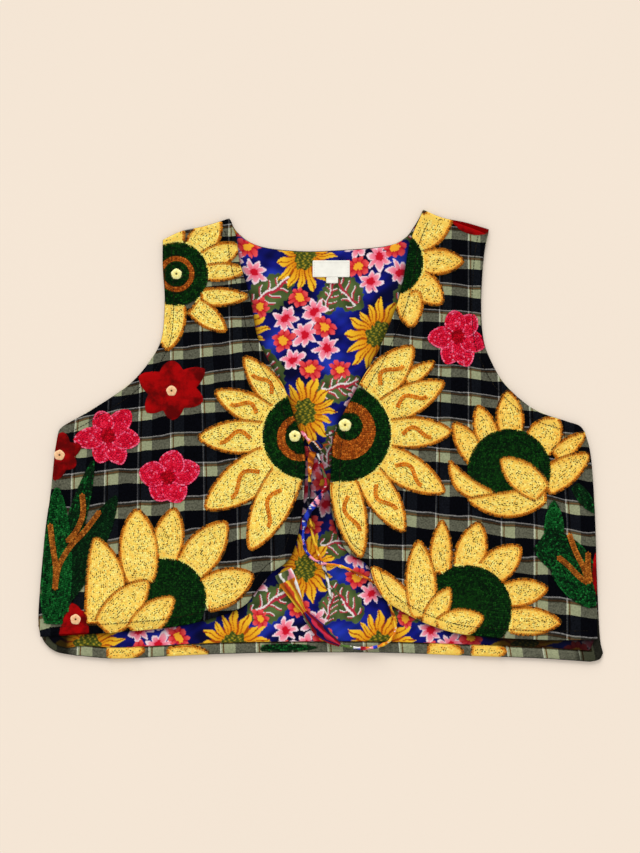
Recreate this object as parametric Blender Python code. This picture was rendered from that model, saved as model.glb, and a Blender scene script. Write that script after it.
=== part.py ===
"""A sleeveless, cropped vest of checked cotton with thick chain-stitch flowers, laid flat with its front up.

+X runs across the vest, +Y towards its neck and +Z up, from the surface that it lies on. Blender's
units are metres. The tables and the shaping functions work in millimetres.
"""

import math
from collections import namedtuple

import bmesh
import bpy
from mathutils import Vector
from mathutils.geometry import delaunay_2d_cdt

MM = 0.001

# Driving sizes, in millimetres.
CLOTH = 1.3
LINING = 1.0
SEAM_GAP = 0.3
SEAM_MARGIN = 6.0
NECK_MARGIN = 1.0
HEM_DEPTH = 11.0
RIM = 0.6
THREAD = 1.2
HEM_THREAD = 0.72
FELT = 0.8
THREAD_SLOPE = 1.6
LEDGE_SLOPE = 1.0
TIE_DIAMETER = 3.4
LABEL_PLACE = (11.0, 171.5)
LABEL_SIZE = (38.0, 17.0)
TAB_SIZE = (12.0, 6.0)
TAB_SHIFT = 1.0

# Heights that follow from them.
BACK_TOP = CLOTH
LINING_BOTTOM = BACK_TOP + SEAM_GAP
LINING_TOP = LINING_BOTTOM + LINING
FRONT_BOTTOM = LINING_TOP + SEAM_GAP
EDGE_TOP = 2 * CLOTH

# Spacing of points, in millimetres.
EDGE_STEP = 9.0
LINING_STEP = 13.0
UPPER_STEP = 24.0
LOWER_STEP = 34.0
CLEAR_OF_LINES = 5.0
TIE_STEP = 8.2
END_STEP = 6.0
PETAL_POINTS = 12
SMALL_PETAL_POINTS = 10
DISC_POINTS = 22
KNOT_SIDES = 14
KNOT_RINGS = 8
# How far a petal reaches in under the centre of its flower.
PETAL_TUCK = 2.0
# How blunt a petal's start is, for one that grows from a round centre and for another.
BLUNT_RAY = 0.22
BLUNT = 0.12
# Turn between two faces, in degrees, from which their edge is sharp.
SHARP_EDGE = 35.0
# Sine of the turn below which two stretches count as one straight line.
STRAIGHT = 0.05

# A run is one cut edge between two corners. Its margin is how far the lining stays inside it.
Run = namedtuple("Run", "name margin points")

LEFT_RUNS = (
    Run("shoulder", 0, ((-162, 201), (-143, 210), (-120, 215), (-94, 223))),
    Run(
        "front",
        0,
        (
            (-94, 223), (-87, 205), (-83, 178), (-72, 140), (-65, 102), (-52, 74), (-38, 51),
            (-25, 14), (-16, -15), (-17, -56), (-21, -92), (-31, -125), (-51, -142),
            (-66, -160), (-80, -176), (-112, -188), (-153, -197), (-207, -202), (-252, -205),
            (-288, -207),
        ),
    ),
    Run("side", 0, ((-288, -207), (-290, -182), (-284, -108), (-277, -56), (-273, -17), (-270, 1))),
    Run(
        "armhole",
        0,
        (
            (-270, 1), (-265, 9), (-234, 27), (-197, 52), (-175, 77), (-163, 101), (-160, 140),
            (-162, 173), (-162, 201),
        ),
    ),
)

RIGHT_RUNS = (
    Run("shoulder", 0, ((106, 232), (125, 224), (149, 219), (173, 212))),
    Run(
        "armhole",
        0,
        (
            (173, 212), (168, 186), (165, 140), (167, 101), (175, 77), (190, 52), (219, 27),
            (251, 15), (266, 10), (272, 3),
        ),
    ),
    Run("side", 0, ((272, 3), (278, -22), (282, -78), (284, -139), (285, -210))),
    Run(
        "front",
        0,
        (
            (285, -210), (226, -210), (151, -205), (113, -195), (88, -183), (67, -169),
            (56, -152), (48, -133), (25, -116), (11, -77), (11, -33), (16, 6), (42, 57), (59, 86),
            (76, 127), (84, 155), (92, 198), (106, 232),
        ),
    ),
)

BACK_RUNS = (
    Run("left shoulder", SEAM_MARGIN, LEFT_RUNS[0].points),
    Run(
        "neck",
        NECK_MARGIN,
        (
            (-94, 223), (-84, 208), (-62, 195), (-21, 190), (20, 191), (66, 195), (86, 203),
            (96, 215), (106, 232),
        ),
    ),
    Run("right shoulder", SEAM_MARGIN, RIGHT_RUNS[0].points),
    Run("right armhole", SEAM_MARGIN, RIGHT_RUNS[1].points),
    Run(
        "right side",
        SEAM_MARGIN,
        ((272, 3), (278, -22), (282, -78), (284, -139), (287, -205), (290.4, -224)),
    ),
    Run("right corner", HEM_DEPTH, ((290.4, -224), (287, -230), (278, -232.4))),
    Run(
        "hem",
        HEM_DEPTH,
        (
            (278, -232.4), (226, -229), (151, -226), (60, -223), (-40, -223), (-124, -225),
            (-207, -229), (-252, -226),
        ),
    ),
    Run("left corner", SEAM_MARGIN, ((-252, -226), (-272, -222), (-284, -212), (-290, -196))),
    Run("left side", SEAM_MARGIN, ((-290, -196), (-284, -108), (-277, -56), (-273, -17), (-270, 1))),
    Run("left armhole", SEAM_MARGIN, LEFT_RUNS[3].points),
)

# A flower has a round centre, with petals about it. Turns are in degrees from +X.
Flower = namedtuple("Flower", "x y radius petals")
Ray = namedtuple("Ray", "turn length width")
# A petal that stands by itself starts at x, y and may bend to its left.
Petal = namedtuple("Petal", "x y turn length width bend")
# A blossom's lobes are (turn, reach). Its notch is how far out the places between them are.
Blossom = namedtuple("Blossom", "x y notch lobes rise")

LEFT_FLOWERS = (
    Flower(-148, 166, 33, (
        Ray(99, 40, 31), Ray(52, 40, 31), Ray(24, 40, 25), Ray(3, 39, 20),
        Petal(-123, 142, 1, 50, 20, 0), Petal(-131, 134, -38, 44, 24, 0), Ray(-97, 47, 31),
    )),
    Flower(-15, 0, 45, (
        Ray(128, 59, 29), Ray(154, 60, 31), Ray(181, 67, 36), Ray(216, 84, 44), Ray(244, 87, 40),
    )),
    Flower(-159, -168, 42, (
        Petal(-184, -145, 93, 71, 40, 0), Petal(-161, -127, 78, 55, 33, 0), Ray(52, 60, 39),
        Petal(-121, -166, 24, 58, 40, 0),
    )),
)
LEFT_PETALS = (
    Petal(-228, -194, 92, 91, 42, -9),
    Petal(-224, -199, 47, 70, 36, 0),
    Petal(-192, -203, 42, 57, 31, 0),
)
LEFT_BLOSSOMS = (
    Blossom(-218, 0, 0.5, ((-110, 30), (-64, 33), (-10, 33), (49, 34), (112, 27), (188, 36)), THREAD),
    Blossom(-157, -43, 0.5, ((-118, 27), (-61, 29), (17, 34.5), (73, 29), (168, 30)), THREAD),
    Blossom(-153, 46, 0.68, ((-139, 34), (-88, 30), (-19, 34), (33, 41), (90, 31), (156, 37)), FELT),
    Blossom(-268, -20, 0.7, ((-100, 27), (-35, 20), (22, 24), (80, 24), (180, 20)), FELT),
    Blossom(-251.5, -188.7, 0.75, ((-135, 24), (-50, 20), (20, 12), (104, 17), (165, 12)), FELT),
)
LEFT_LEAVES = (
    Petal(-268, -146, 74, 128, 20, 0),
    Petal(-266, -168, 62, 122, 30, 0),
    Petal(-273, -194, 89, 143, 34, 0),
)

RIGHT_FLOWERS = (
    Flower(71, 178, 35, (
        Ray(40, 50, 36), Ray(1, 42, 28), Petal(98, 161, -43, 38, 30, 0), Petal(90, 149, -85, 39, 29, 0),
    )),
    Flower(23, 2, 50, (
        Petal(87, 56, 33, 37, 17, 0), Petal(51, 43, 48, 67, 38, 0), Ray(27, 68, 34), Ray(1, 63, 33),
        Ray(-30, 72, 36), Ray(-58, 70, 34), Petal(23, -46, -77, 83, 34, 0),
    )),
    Flower(194, -36, 43, (
        Petal(165, -27, 125, 50, 27, 0), Petal(175, -10, 108, 44, 25, 0), Petal(196, 3, 95, 44, 29, 0),
        Petal(222, -12, 53, 38, 36, 0), Petal(241, -22, 38, 41, 19, 0), Petal(229, -51, 34, 58, 31, 0),
    )),
    Flower(151, -179, 46, (
        Petal(123, -142, 88, 56, 24, 0), Petal(150, -137, 75, 51, 33, 0), Petal(171, -143, 40, 46, 34, 0),
        Petal(189, -164, 9, 46, 29, 0), Petal(194, -190, -2, 54, 30, 0),
    )),
)
RIGHT_PETALS = (
    Petal(175, -62, 139, 57, 20, 9),
    Petal(232, -60, 184, 82, 28, 8),
    Petal(229, -60, 140, 58, 32, 0),
    Petal(98, -189, 130, 72, 26, 0),
    Petal(105, -188, 93, 82, 33, 0),
    Petal(110, -196, 60, 47, 24, 0),
    Petal(120, -199, 15, 50, 32, 0),
)
RIGHT_BLOSSOMS = (
    Blossom(141, 102, 0.5, ((-113, 31), (-71, 33), (-21, 30), (49, 28), (100, 27), (184, 31)), THREAD),
    Blossom(162, 240, 1, ((-120, 34), (-60, 34), (90, 34)), FELT),
    Blossom(336, -140.6, 1, ((0, 57), (150, 57), (180, 57), (210, 57)), FELT),
)
RIGHT_LEAVES = (
    Petal(240, -120, 90, 54, 21, 0),
    Petal(226, -106, -36, 72, 40, 0),
    Petal(243, -127, -52, 64, 32, 0),
    Petal(261, -51, -53, 37, 14, 0),
)

# Cut petals and leaves on the turned-up hem.
HEM_PETALS = (
    Petal(-217, -223, 2, 38, 8.5, 0),
    Petal(-157, -221, 2, 40, 8.5, 0),
    Petal(-62, -218, 1, 60, 7, 0),
    Petal(109, -219.5, -2, 36, 8.5, 0),
    Petal(154, -221, -2, 36, 8.5, 0),
)

# A fold is a soft ridge, centred at x, y, which runs along turn.
Fold = namedtuple("Fold", "x y turn length width rise")

LINING_FOLDS = (
    Fold(-38, 150, -62, 34, 9, 0.7),
    Fold(34, 112, 58, 30, 8, 0.6),
)
FRONT_FOLDS = (
    Fold(-30, 40, -62, 60, 16, 1.3),
    Fold(-90, -90, -20, 70, 20, 1.2),
    Fold(-45, -135, -45, 45, 15, 1.6),
    Fold(-150, -190, -8, 90, 13, 1.6),
    Fold(-200, 0, 10, 60, 18, 1.0),
    Fold(-110, 100, 80, 60, 18, 0.9),
    Fold(40, 40, 62, 60, 16, 1.3),
    Fold(110, -80, 12, 80, 20, 1.2),
    Fold(61, -158, -50, 28, 12, 4.6),
    Fold(150, -196, 6, 80, 13, 1.4),
    Fold(215, -120, 30, 60, 18, 1.0),
    Fold(130, 150, 84, 60, 18, 0.9),
)

# Ties: places along each stretch, with the height of its middle line above the surface.
TIE_LEFT_UPPER = ((-19.6, 4.5, 5.1), (-17, 1, 4.9), (-14, -2.8, 5.1), (-10.6, -6.9, 5.4))
TIE_RIGHT_UPPER = ((11.7, -10, 5.1), (9, -9.8, 5.0), (6, -9.9, 5.2), (2.8, -10.4, 5.4))
TIE_LEFT_LOWER = (
    (-8.2, -16.7, 5.2), (-10, -26, 4.7), (-11, -40, 4.7), (-11.5, -56, 4.7), (-12, -71, 4.7),
    (-10.5, -86, 4.7), (-8, -102, 4.7), (-3.5, -118, 4.7), (2, -131, 4.7), (6.5, -145, 4.7),
    (9, -157, 4.7), (10.5, -169, 4.7),
)
TIE_RIGHT_LOWER = (
    (-2.5, -17, 5.2), (-1, -26, 4.7), (2.5, -35, 4.7), (5.5, -46, 4.7), (3.5, -56, 5.2),
    (-2.5, -66, 7.4), (-10.5, -76, 9.0), (-15.5, -86, 7.2), (-17.5, -97, 5.0), (-17.5, -108, 4.7),
    (-14.5, -119, 5.6), (-7.5, -127, 7.8), (1, -130.8, 9.0), (10, -132.5, 7.8), (20, -134, 5.4),
    (31, -138.5, 4.7), (42, -144, 4.7), (52, -149, 4.7), (61, -156, 4.7), (68, -166, 4.7),
    (72.5, -178, 4.7), (76, -191, 4.8), (76, -203, 5.0), (69.5, -212, 5.2), (58, -217, 5.2),
    (45, -218.5, 5.2), (32, -217.5, 5.2), (21, -215.5, 5.2),
)
KNOT = (-5.0, -11.0, 6.6)
KNOT_SIZE = (15.0, 12.0, 6.8)
END_ROUTE = ((19.9, -215.2), (6, -206), (-8, -192), (-20, -176), (-28, -160), (-38, -140))
# Along the gathered end of the right tie: share of its length, half width and half height.
Section = namedtuple("Section", "share half_width half_height")
END_SECTIONS = (
    Section(0.00, 2.2, 1.5),
    Section(0.10, 5.2, 2.2),
    Section(0.26, 7.6, 2.6),
    Section(0.42, 5.4, 2.4),
    Section(0.54, 2.6, 1.9),
    Section(0.64, 5.0, 2.4),
    Section(0.82, 8.6, 2.8),
    Section(0.96, 10.2, 2.8),
    Section(1.00, 9.6, 2.2),
)
END_SIDES = 12
END_FLOOR = 3.0

COLOURS = {
    "check": (0.035, 0.036, 0.040),
    "print": (0.025, 0.035, 0.330),
    "label": (0.800, 0.780, 0.720),
    "tie": (0.250, 0.060, 0.090),
}


def clear_scene():
    for scene_object in list(bpy.data.objects):
        bpy.data.objects.remove(scene_object)


def fabric(name, colour):
    material = bpy.data.materials.new(name)
    material.use_nodes = True
    shader = material.node_tree.nodes["Principled BSDF"]
    shader.inputs["Base Color"].default_value = (*colour, 1.0)
    shader.inputs["Roughness"].default_value = 0.9
    shader.inputs["Metallic"].default_value = 0.0
    return material


def curve_through(points, step):
    """Points at most step apart on a smooth curve through these, which may be in two or three axes."""
    points = [Vector(point) for point in points]
    before = points[0] * 2 - points[1]
    after = points[-1] * 2 - points[-2]
    padded = [before, *points, after]
    found = []
    for first, start, end, last in zip(padded, padded[1:], padded[2:], padded[3:]):
        pieces = max(1, math.ceil((end - start).length / step))
        for piece in range(pieces):
            t = piece / pieces
            found.append(
                0.5
                * (
                    2 * start
                    + (end - first) * t
                    + (2 * first - 5 * start + 4 * end - last) * t**2
                    + (3 * start - first - 3 * end + last) * t**3
                )
            )
    return [*found, points[-1]]


def outline(runs, step=EDGE_STEP):
    """The runs as one closed line, anticlockwise, and the margin of each of its stretches."""
    line = []
    margins = []
    for run in runs:
        points = curve_through(run.points, step)[:-1]
        line += points
        margins += [run.margin] * len(points)
    if signed_area(line) < 0:
        line = [line[0], *reversed(line[1:])]
        margins = list(reversed(margins))
    return line, margins


def signed_area(line):
    return 0.5 * sum(a.x * b.y - b.x * a.y for a, b in zip(line, line[1:] + line[:1]))


def inset(line, distances):
    """The closed line moved inwards, each stretch by its own distance, or outwards where it is negative."""
    moved = []
    least = []
    for index, corner in enumerate(line):
        before = (corner - line[index - 1]).normalized()
        after = (line[(index + 1) % len(line)] - corner).normalized()
        left = Vector((-before.y, before.x))
        right = Vector((-after.y, after.x))
        near, far = distances[index - 1], distances[index]
        turning = before.x * after.y - before.y * after.x
        if abs(turning) < STRAIGHT:
            moved.append(corner + (left + right).normalized() * 0.5 * (near + far))
        else:
            along = (near * left.dot(right) - far) / turning
            moved.append(corner + left * near + before * along)
        least.append(min(near, far))
    # A corner tighter than the distance folds the moved line over itself there, so those points go.
    return [
        place
        for place, near in zip(moved, least)
        if near <= 0 or depth_inside(place, line) > 0.95 * near
    ]


def depth_inside(place, line):
    """How far a place is inside a closed line, or 0 outside it."""
    inside = False
    nearest = math.inf
    for a, b in zip(line, line[1:] + line[:1]):
        edge = b - a
        share = max(0.0, min(1.0, (place - a).dot(edge) / edge.length_squared))
        nearest = min(nearest, (place - a - edge * share).length_squared)
        if (a.y > place.y) != (b.y > place.y):
            if place.x < a.x + (place.y - a.y) * edge.x / edge.y:
                inside = not inside
    return math.sqrt(nearest) if inside else 0.0


def ring(x, y, radius, count):
    turns = (math.tau * index / count for index in range(count))
    return [Vector((x + radius * math.cos(turn), y + radius * math.sin(turn))) for turn in turns]


def petal_line(petal, count=PETAL_POINTS, blunt=BLUNT):
    """A petal's edge: blunt where it starts, widest near its middle, narrow at its tip."""
    turn = math.radians(petal.turn)
    along = Vector((math.cos(turn), math.sin(turn)))
    across = Vector((-along.y, along.x))
    sides = {1: [], -1: []}
    for index in range(count // 2):
        share = 1 - (1 - index / (count // 2 - 0.45)) ** 1.25
        past = 2 * (blunt + (1 - blunt) * share) - 1
        swell = (1 - abs(past) ** 2.4) ** 0.6 if past < 0 else (1 - past**1.8) ** 0.72
        middle = Vector((petal.x, petal.y)) + along * petal.length * share
        middle += across * petal.bend * 4 * share * (1 - share)
        for side, points in sides.items():
            points.append(middle + across * side * swell * petal.width / 2)
    return sides[-1] + sides[1][::-1]


def ray_petal(flower, ray):
    turn = math.radians(ray.turn)
    reach = flower.radius - PETAL_TUCK
    return Petal(
        flower.x + reach * math.cos(turn),
        flower.y + reach * math.sin(turn),
        ray.turn,
        ray.length + PETAL_TUCK,
        ray.width,
        0,
    )


def blossom_line(blossom, per_lobe=4):
    points = []
    lobes = [*blossom.lobes, (blossom.lobes[0][0] + 360, blossom.lobes[0][1])]
    for (first, near), (last, far) in zip(lobes, lobes[1:]):
        for index in range(per_lobe):
            share = index / per_lobe
            swing = 0.5 + 0.5 * math.cos(math.tau * share)
            reach = (near + (far - near) * share) * (blossom.notch + (1 - blossom.notch) * swing**0.7)
            turn = math.radians(first + (last - first) * share)
            points.append(Vector((blossom.x + reach * math.cos(turn), blossom.y + reach * math.sin(turn))))
    return points


# A raised shape is a closed line with the height of what is stitched inside it.
Raised = namedtuple("Raised", "line rise")


def raised_shapes(flowers, petals, blossoms, leaves):
    shapes = []
    for flower in flowers:
        shapes.append(Raised(ring(flower.x, flower.y, flower.radius, DISC_POINTS), THREAD))
        for petal in flower.petals:
            if isinstance(petal, Ray):
                petal = ray_petal(flower, petal)
            shapes.append(Raised(petal_line(petal, blunt=BLUNT_RAY), THREAD))
    shapes += [Raised(petal_line(petal), THREAD) for petal in petals]
    shapes += [Raised(blossom_line(blossom), blossom.rise) for blossom in blossoms]
    shapes += [Raised(petal_line(leaf, SMALL_PETAL_POINTS), FELT) for leaf in leaves]
    return shapes


def relief(place, shapes):
    rise = 0.0
    for shape in shapes:
        if shape.rise > rise:
            depth = depth_inside(place, shape.line)
            rise = max(rise, shape.rise * min(1.0, depth / THREAD_SLOPE))
    return rise


def fold_rise(place, folds):
    rise = 0.0
    for fold in folds:
        turn = math.radians(fold.turn)
        away = place - Vector((fold.x, fold.y))
        along = away.x * math.cos(turn) + away.y * math.sin(turn)
        across = away.y * math.cos(turn) - away.x * math.sin(turn)
        rise = max(rise, fold.rise * math.exp(-((along / fold.length) ** 4) - (across / fold.width) ** 2))
    return rise


def fold_places(folds):
    """Places along each fold and beside it, so that a coarse wall keeps its form."""
    places = []
    for fold in folds:
        turn = math.radians(fold.turn)
        for along in (-0.8, -0.4, 0, 0.4, 0.8):
            for across in (-1.1, 0, 1.1):
                u, v = along * fold.length, across * fold.width
                places.append(
                    Vector((
                        fold.x + u * math.cos(turn) - v * math.sin(turn),
                        fold.y + u * math.sin(turn) + v * math.cos(turn),
                    ))
                )
    return places


def grid_places(line, step):
    """Places on a staggered grid over the area of a closed line."""
    left, right = min(p.x for p in line), max(p.x for p in line)
    low, high = min(p.y for p in line), max(p.y for p in line)
    places = []
    for row in range(math.ceil((high - low) / step)):
        for column in range(math.ceil((right - left) / step) + 1):
            places.append(Vector((left + (column + 0.5 * (row % 2)) * step, low + (row + 0.5) * step)))
    return places


def thinned(places, border, lines, gap):
    """The places inside border that keep clear of it, of the lines and of each other."""
    marks = [point for line in lines for point in line]
    kept = []
    for place in places:
        if depth_inside(place, border) < gap:
            continue
        if all((place - other).length > gap for other in marks + kept):
            kept.append(place)
    return kept


def triangles(border, lines, places):
    """(points, faces) of the border's area, with every line and place kept."""
    points = list(border)
    edges = []
    for line in lines:
        first = len(points)
        points += line
        edges += [(first + i, first + (i + 1) % len(line)) for i in range(len(line))]
    points += places
    found = delaunay_2d_cdt(points, edges, [list(range(len(border)))], 0, 1e-4, True)
    found_points, _, faces, _, _, owners = found
    return found_points, [face for face, owner in zip(faces, owners) if owner]


def border_of(faces):
    """The outer edge of the faces, as indices in order."""
    following = {}
    sides = {(face[i], face[(i + 1) % 3]) for face in faces for i in range(3)}
    for a, b in sides:
        if (b, a) not in sides:
            following[a] = b
    start = next(iter(following))
    order = [start]
    while following[order[-1]] != start:
        order.append(following[order[-1]])
    return order


def wall(name, border, lines, places, folds, lower, upper, material):
    """A closed wall of cloth. The functions lower and upper give the heights of its two faces at a place."""
    points, faces = triangles(border, lines, places)
    order = border_of(faces)
    edge = [points[index] for index in order]
    under = fold_places(folds) + grid_places(border, LOWER_STEP)
    under_points, under_faces = triangles(edge, [], thinned(under, border, [edge], CLEAR_OF_LINES))
    rim = inset(edge, [-RIM] * len(edge))

    mesh = bmesh.new()

    def add(place, height):
        return mesh.verts.new((place.x * MM, place.y * MM, height * MM))

    top = [add(place, upper(place)) for place in points]
    bottom = [add(place, lower(place)) for place in under_points]
    middle = [
        add(place, 0.5 * (upper(near) + lower(near))) for place, near in zip(rim, edge)
    ]
    for face in faces:
        mesh.faces.new([top[index] for index in face])
    for face in under_faces:
        mesh.faces.new([bottom[index] for index in reversed(face)])
    nearest = {}
    for index, place in enumerate(under_points):
        nearest[(round(place.x, 3), round(place.y, 3))] = bottom[index]
    below = [nearest[(round(place.x, 3), round(place.y, 3))] for place in edge]
    for index in range(len(edge)):
        following = (index + 1) % len(edge)
        above, above_next = top[order[index]], top[order[following]]
        mesh.faces.new((above, middle[index], middle[following], above_next))
        mesh.faces.new((middle[index], below[index], below[following], middle[following]))
    loose = [vertex for vertex in mesh.verts if not vertex.link_faces]
    bmesh.ops.delete(mesh, geom=loose, context="VERTS")
    bmesh.ops.recalc_face_normals(mesh, faces=mesh.faces)
    return finish(name, mesh, material)


def finish(name, mesh, material):
    data = bpy.data.meshes.new(name)
    mesh.to_mesh(data)
    mesh.free()
    data.materials.append(material)
    data.shade_smooth()
    data.set_sharp_from_angle(angle=math.radians(SHARP_EDGE))
    made = bpy.data.objects.new(name, data)
    bpy.context.scene.collection.objects.link(made)
    return made


def front(name, runs, shapes):
    line, _ = outline(runs)
    border = inset(line, [RIM] * len(line))
    lines = []
    for shape in shapes:
        crest = inset(shape.line, [THREAD_SLOPE] * len(shape.line))
        lines += [shape.line, crest]
    places = thinned(fold_places(FRONT_FOLDS), border, lines, CLEAR_OF_LINES)
    places += thinned(grid_places(border, UPPER_STEP), border, [*lines, places], CLEAR_OF_LINES)

    def lower(place):
        return FRONT_BOTTOM + fold_rise(place, FRONT_FOLDS)

    def upper(place):
        return lower(place) + CLOTH + relief(place, shapes)

    material = fabric(name, COLOURS["check"])
    return wall(name, border, lines, places, FRONT_FOLDS, lower, upper, material)


def back_panel():
    line, _ = outline(BACK_RUNS)
    border = inset(line, [RIM + SEAM_GAP] * len(line))
    floor = inset(lining_line(), [-SEAM_GAP] * len(lining_line()))
    ledge = inset(floor, [-LEDGE_SLOPE] * len(floor))
    shapes = [Raised(petal_line(petal, SMALL_PETAL_POINTS), HEM_THREAD) for petal in HEM_PETALS]
    lines = [floor, ledge, *(shape.line for shape in shapes)]
    places = thinned(grid_places(border, 2 * UPPER_STEP), border, lines, CLEAR_OF_LINES)

    def lower(place):
        return 0.0

    def upper(place):
        step = max(0.0, 1 - depth_inside(place, ledge) / LEDGE_SLOPE)
        return BACK_TOP + (EDGE_TOP - BACK_TOP) * step + relief(place, shapes)

    material = fabric("back_panel", COLOURS["check"])
    return wall("back_panel", border, lines, places, (), lower, upper, material)


def lining_line():
    line, margins = outline(BACK_RUNS, LINING_STEP)
    return inset(line, margins)


def back_lining():
    border = inset(lining_line(), [RIM] * len(lining_line()))
    places = thinned(fold_places(LINING_FOLDS), border, [], CLEAR_OF_LINES)
    places += thinned(grid_places(border, 2 * UPPER_STEP), border, [places], CLEAR_OF_LINES)

    def lower(place):
        return LINING_BOTTOM + fold_rise(place, LINING_FOLDS)

    def upper(place):
        return lower(place) + LINING

    material = fabric("back_lining", COLOURS["print"])
    return wall("back_lining", border, [], places, LINING_FOLDS, lower, upper, material)


def patch(name, x, y, size):
    """A small flat woven rectangle on the lining."""
    half_x, half_y = size[0] / 2 - RIM, size[1] / 2 - RIM
    border = [Vector((x + a * half_x, y + b * half_y)) for a, b in ((-1, -1), (1, -1), (1, 1), (-1, 1))]

    def lower(place):
        return LINING_TOP + SEAM_GAP + fold_rise(place, LINING_FOLDS)

    def upper(place):
        return lower(place) + LINING

    return wall(name, border, [], [], (), lower, upper, fabric(name, COLOURS["label"]))


def tie_stretch(name, places):
    """A round stretch of tie, with its middle line through the places."""
    curve = bpy.data.curves.new(name, "CURVE")
    curve.dimensions = "3D"
    curve.bevel_depth = TIE_DIAMETER / 2 * MM
    curve.bevel_resolution = 2
    curve.use_fill_caps = True
    points = curve_through(places, TIE_STEP)
    spline = curve.splines.new("POLY")
    spline.points.add(len(points) - 1)
    for point, place in zip(spline.points, points):
        point.co = (*(place * MM), 1.0)
    curve.materials.append(fabric(name, COLOURS["tie"]))
    made = bpy.data.objects.new(name, curve)
    bpy.context.scene.collection.objects.link(made)
    return made


def tie_knot():
    mesh = bmesh.new()
    bmesh.ops.create_uvsphere(mesh, u_segments=KNOT_SIDES, v_segments=KNOT_RINGS, radius=0.5)
    bmesh.ops.scale(mesh, verts=mesh.verts, vec=Vector(KNOT_SIZE) * MM)
    bmesh.ops.translate(mesh, verts=mesh.verts, vec=Vector(KNOT) * MM)
    return finish("tie_knot", mesh, fabric("tie_knot", COLOURS["tie"]))


def value_along(sections, share, field):
    for first, second in zip(sections, sections[1:]):
        if share <= second.share:
            mix = (share - first.share) / (second.share - first.share)
            mix = mix * mix * (3 - 2 * mix)
            return getattr(first, field) * (1 - mix) + getattr(second, field) * mix
    return getattr(sections[-1], field)


def tie_end():
    """The gathered end of the right tie: swollen, pinched, then flared flat on the lining."""
    route = curve_through(END_ROUTE, END_STEP)
    mesh = bmesh.new()
    rings = []
    for index, place in enumerate(route):
        ahead = route[min(index + 1, len(route) - 1)] - route[max(index - 1, 0)]
        ahead.normalize()
        across = Vector((-ahead.y, ahead.x))
        share = index / (len(route) - 1)
        half_width = value_along(END_SECTIONS, share, "half_width")
        half_height = value_along(END_SECTIONS, share, "half_height")
        section = []
        for side in range(END_SIDES):
            turn = math.tau * side / END_SIDES
            spot = place + across * half_width * math.cos(turn)
            height = END_FLOOR + half_height * (1 + math.sin(turn))
            section.append(mesh.verts.new((spot.x * MM, spot.y * MM, height * MM)))
        rings.append(section)
    for first, second in zip(rings, rings[1:]):
        for side in range(END_SIDES):
            following = (side + 1) % END_SIDES
            mesh.faces.new((first[side], first[following], second[following], second[side]))
    mesh.faces.new(rings[0])
    mesh.faces.new(list(reversed(rings[-1])))
    bmesh.ops.recalc_face_normals(mesh, faces=mesh.faces)
    return finish("tie_end", mesh, fabric("tie_end", COLOURS["tie"]))


def main():
    clear_scene()
    back_panel()
    back_lining()
    left_shapes = raised_shapes(LEFT_FLOWERS, LEFT_PETALS, LEFT_BLOSSOMS, LEFT_LEAVES)
    right_shapes = raised_shapes(RIGHT_FLOWERS, RIGHT_PETALS, RIGHT_BLOSSOMS, RIGHT_LEAVES)
    front("front_left", LEFT_RUNS, left_shapes)
    front("front_right", RIGHT_RUNS, right_shapes)
    x, y = LABEL_PLACE
    patch("label", x, y, LABEL_SIZE)
    below = LABEL_SIZE[1] / 2 + SEAM_GAP + TAB_SIZE[1] / 2
    patch("size_tab", x + TAB_SHIFT, y - below, TAB_SIZE)
    tie_stretch("tie_left_upper", TIE_LEFT_UPPER)
    tie_stretch("tie_right_upper", TIE_RIGHT_UPPER)
    tie_stretch("tie_left_lower", TIE_LEFT_LOWER)
    tie_stretch("tie_right_lower", TIE_RIGHT_LOWER)
    tie_knot()
    tie_end()


main()
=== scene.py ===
"""Dresses the flat vest: checked cotton, thick chain-stitch flowers, a printed lining and twisted ties.

Places are in millimetres in the row frame, +X across the vest, +Y towards its neck and +Z up.
Colours are written as they show, 0 to 255, and are turned into linear values where they are used.
"""

import math
from collections import namedtuple

import bpy
import numpy as np
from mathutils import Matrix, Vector
from mathutils.geometry import delaunay_2d_cdt

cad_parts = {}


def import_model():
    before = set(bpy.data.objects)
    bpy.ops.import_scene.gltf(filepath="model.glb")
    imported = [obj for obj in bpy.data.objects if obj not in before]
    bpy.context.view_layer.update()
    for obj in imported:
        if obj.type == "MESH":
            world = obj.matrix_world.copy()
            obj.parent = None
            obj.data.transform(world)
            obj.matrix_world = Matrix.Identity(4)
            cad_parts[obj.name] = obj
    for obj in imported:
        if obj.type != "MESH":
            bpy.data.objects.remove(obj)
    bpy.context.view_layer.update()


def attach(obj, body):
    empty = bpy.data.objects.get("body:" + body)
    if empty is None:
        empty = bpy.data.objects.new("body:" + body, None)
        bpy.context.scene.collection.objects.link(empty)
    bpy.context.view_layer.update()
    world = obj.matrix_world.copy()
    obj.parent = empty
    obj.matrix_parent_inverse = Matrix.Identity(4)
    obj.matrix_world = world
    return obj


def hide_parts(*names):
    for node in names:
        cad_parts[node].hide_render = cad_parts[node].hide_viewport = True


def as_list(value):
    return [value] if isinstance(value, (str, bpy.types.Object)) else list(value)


MM = 0.001
chance = np.random.default_rng(11)

# Sizes shared with the solids.
CLOTH = 1.3
LINING = 1.0
SEAM_GAP = 0.3
SEAM_MARGIN = 6.0
NECK_MARGIN = 1.0
HEM_DEPTH = 11.0
TIE_DIAMETER = 3.4
LABEL_PLACE = (11.0, 171.5)
LABEL_SIZE = (38.0, 17.0)
TAB_SIZE = (12.0, 6.0)
BACK_TOP = CLOTH
LINING_BOTTOM = BACK_TOP + SEAM_GAP
LINING_TOP = LINING_BOTTOM + LINING
FRONT_BOTTOM = LINING_TOP + SEAM_GAP
EDGE_TOP = 2 * CLOTH

# Sizes of the fine surface.
PAD = 0.5
FINE = 2.2
COARSE = 9.0
PRINT_STEP = 1.0
STITCH_LINE = 9.3
HEM_SEAM = 12.0
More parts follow.
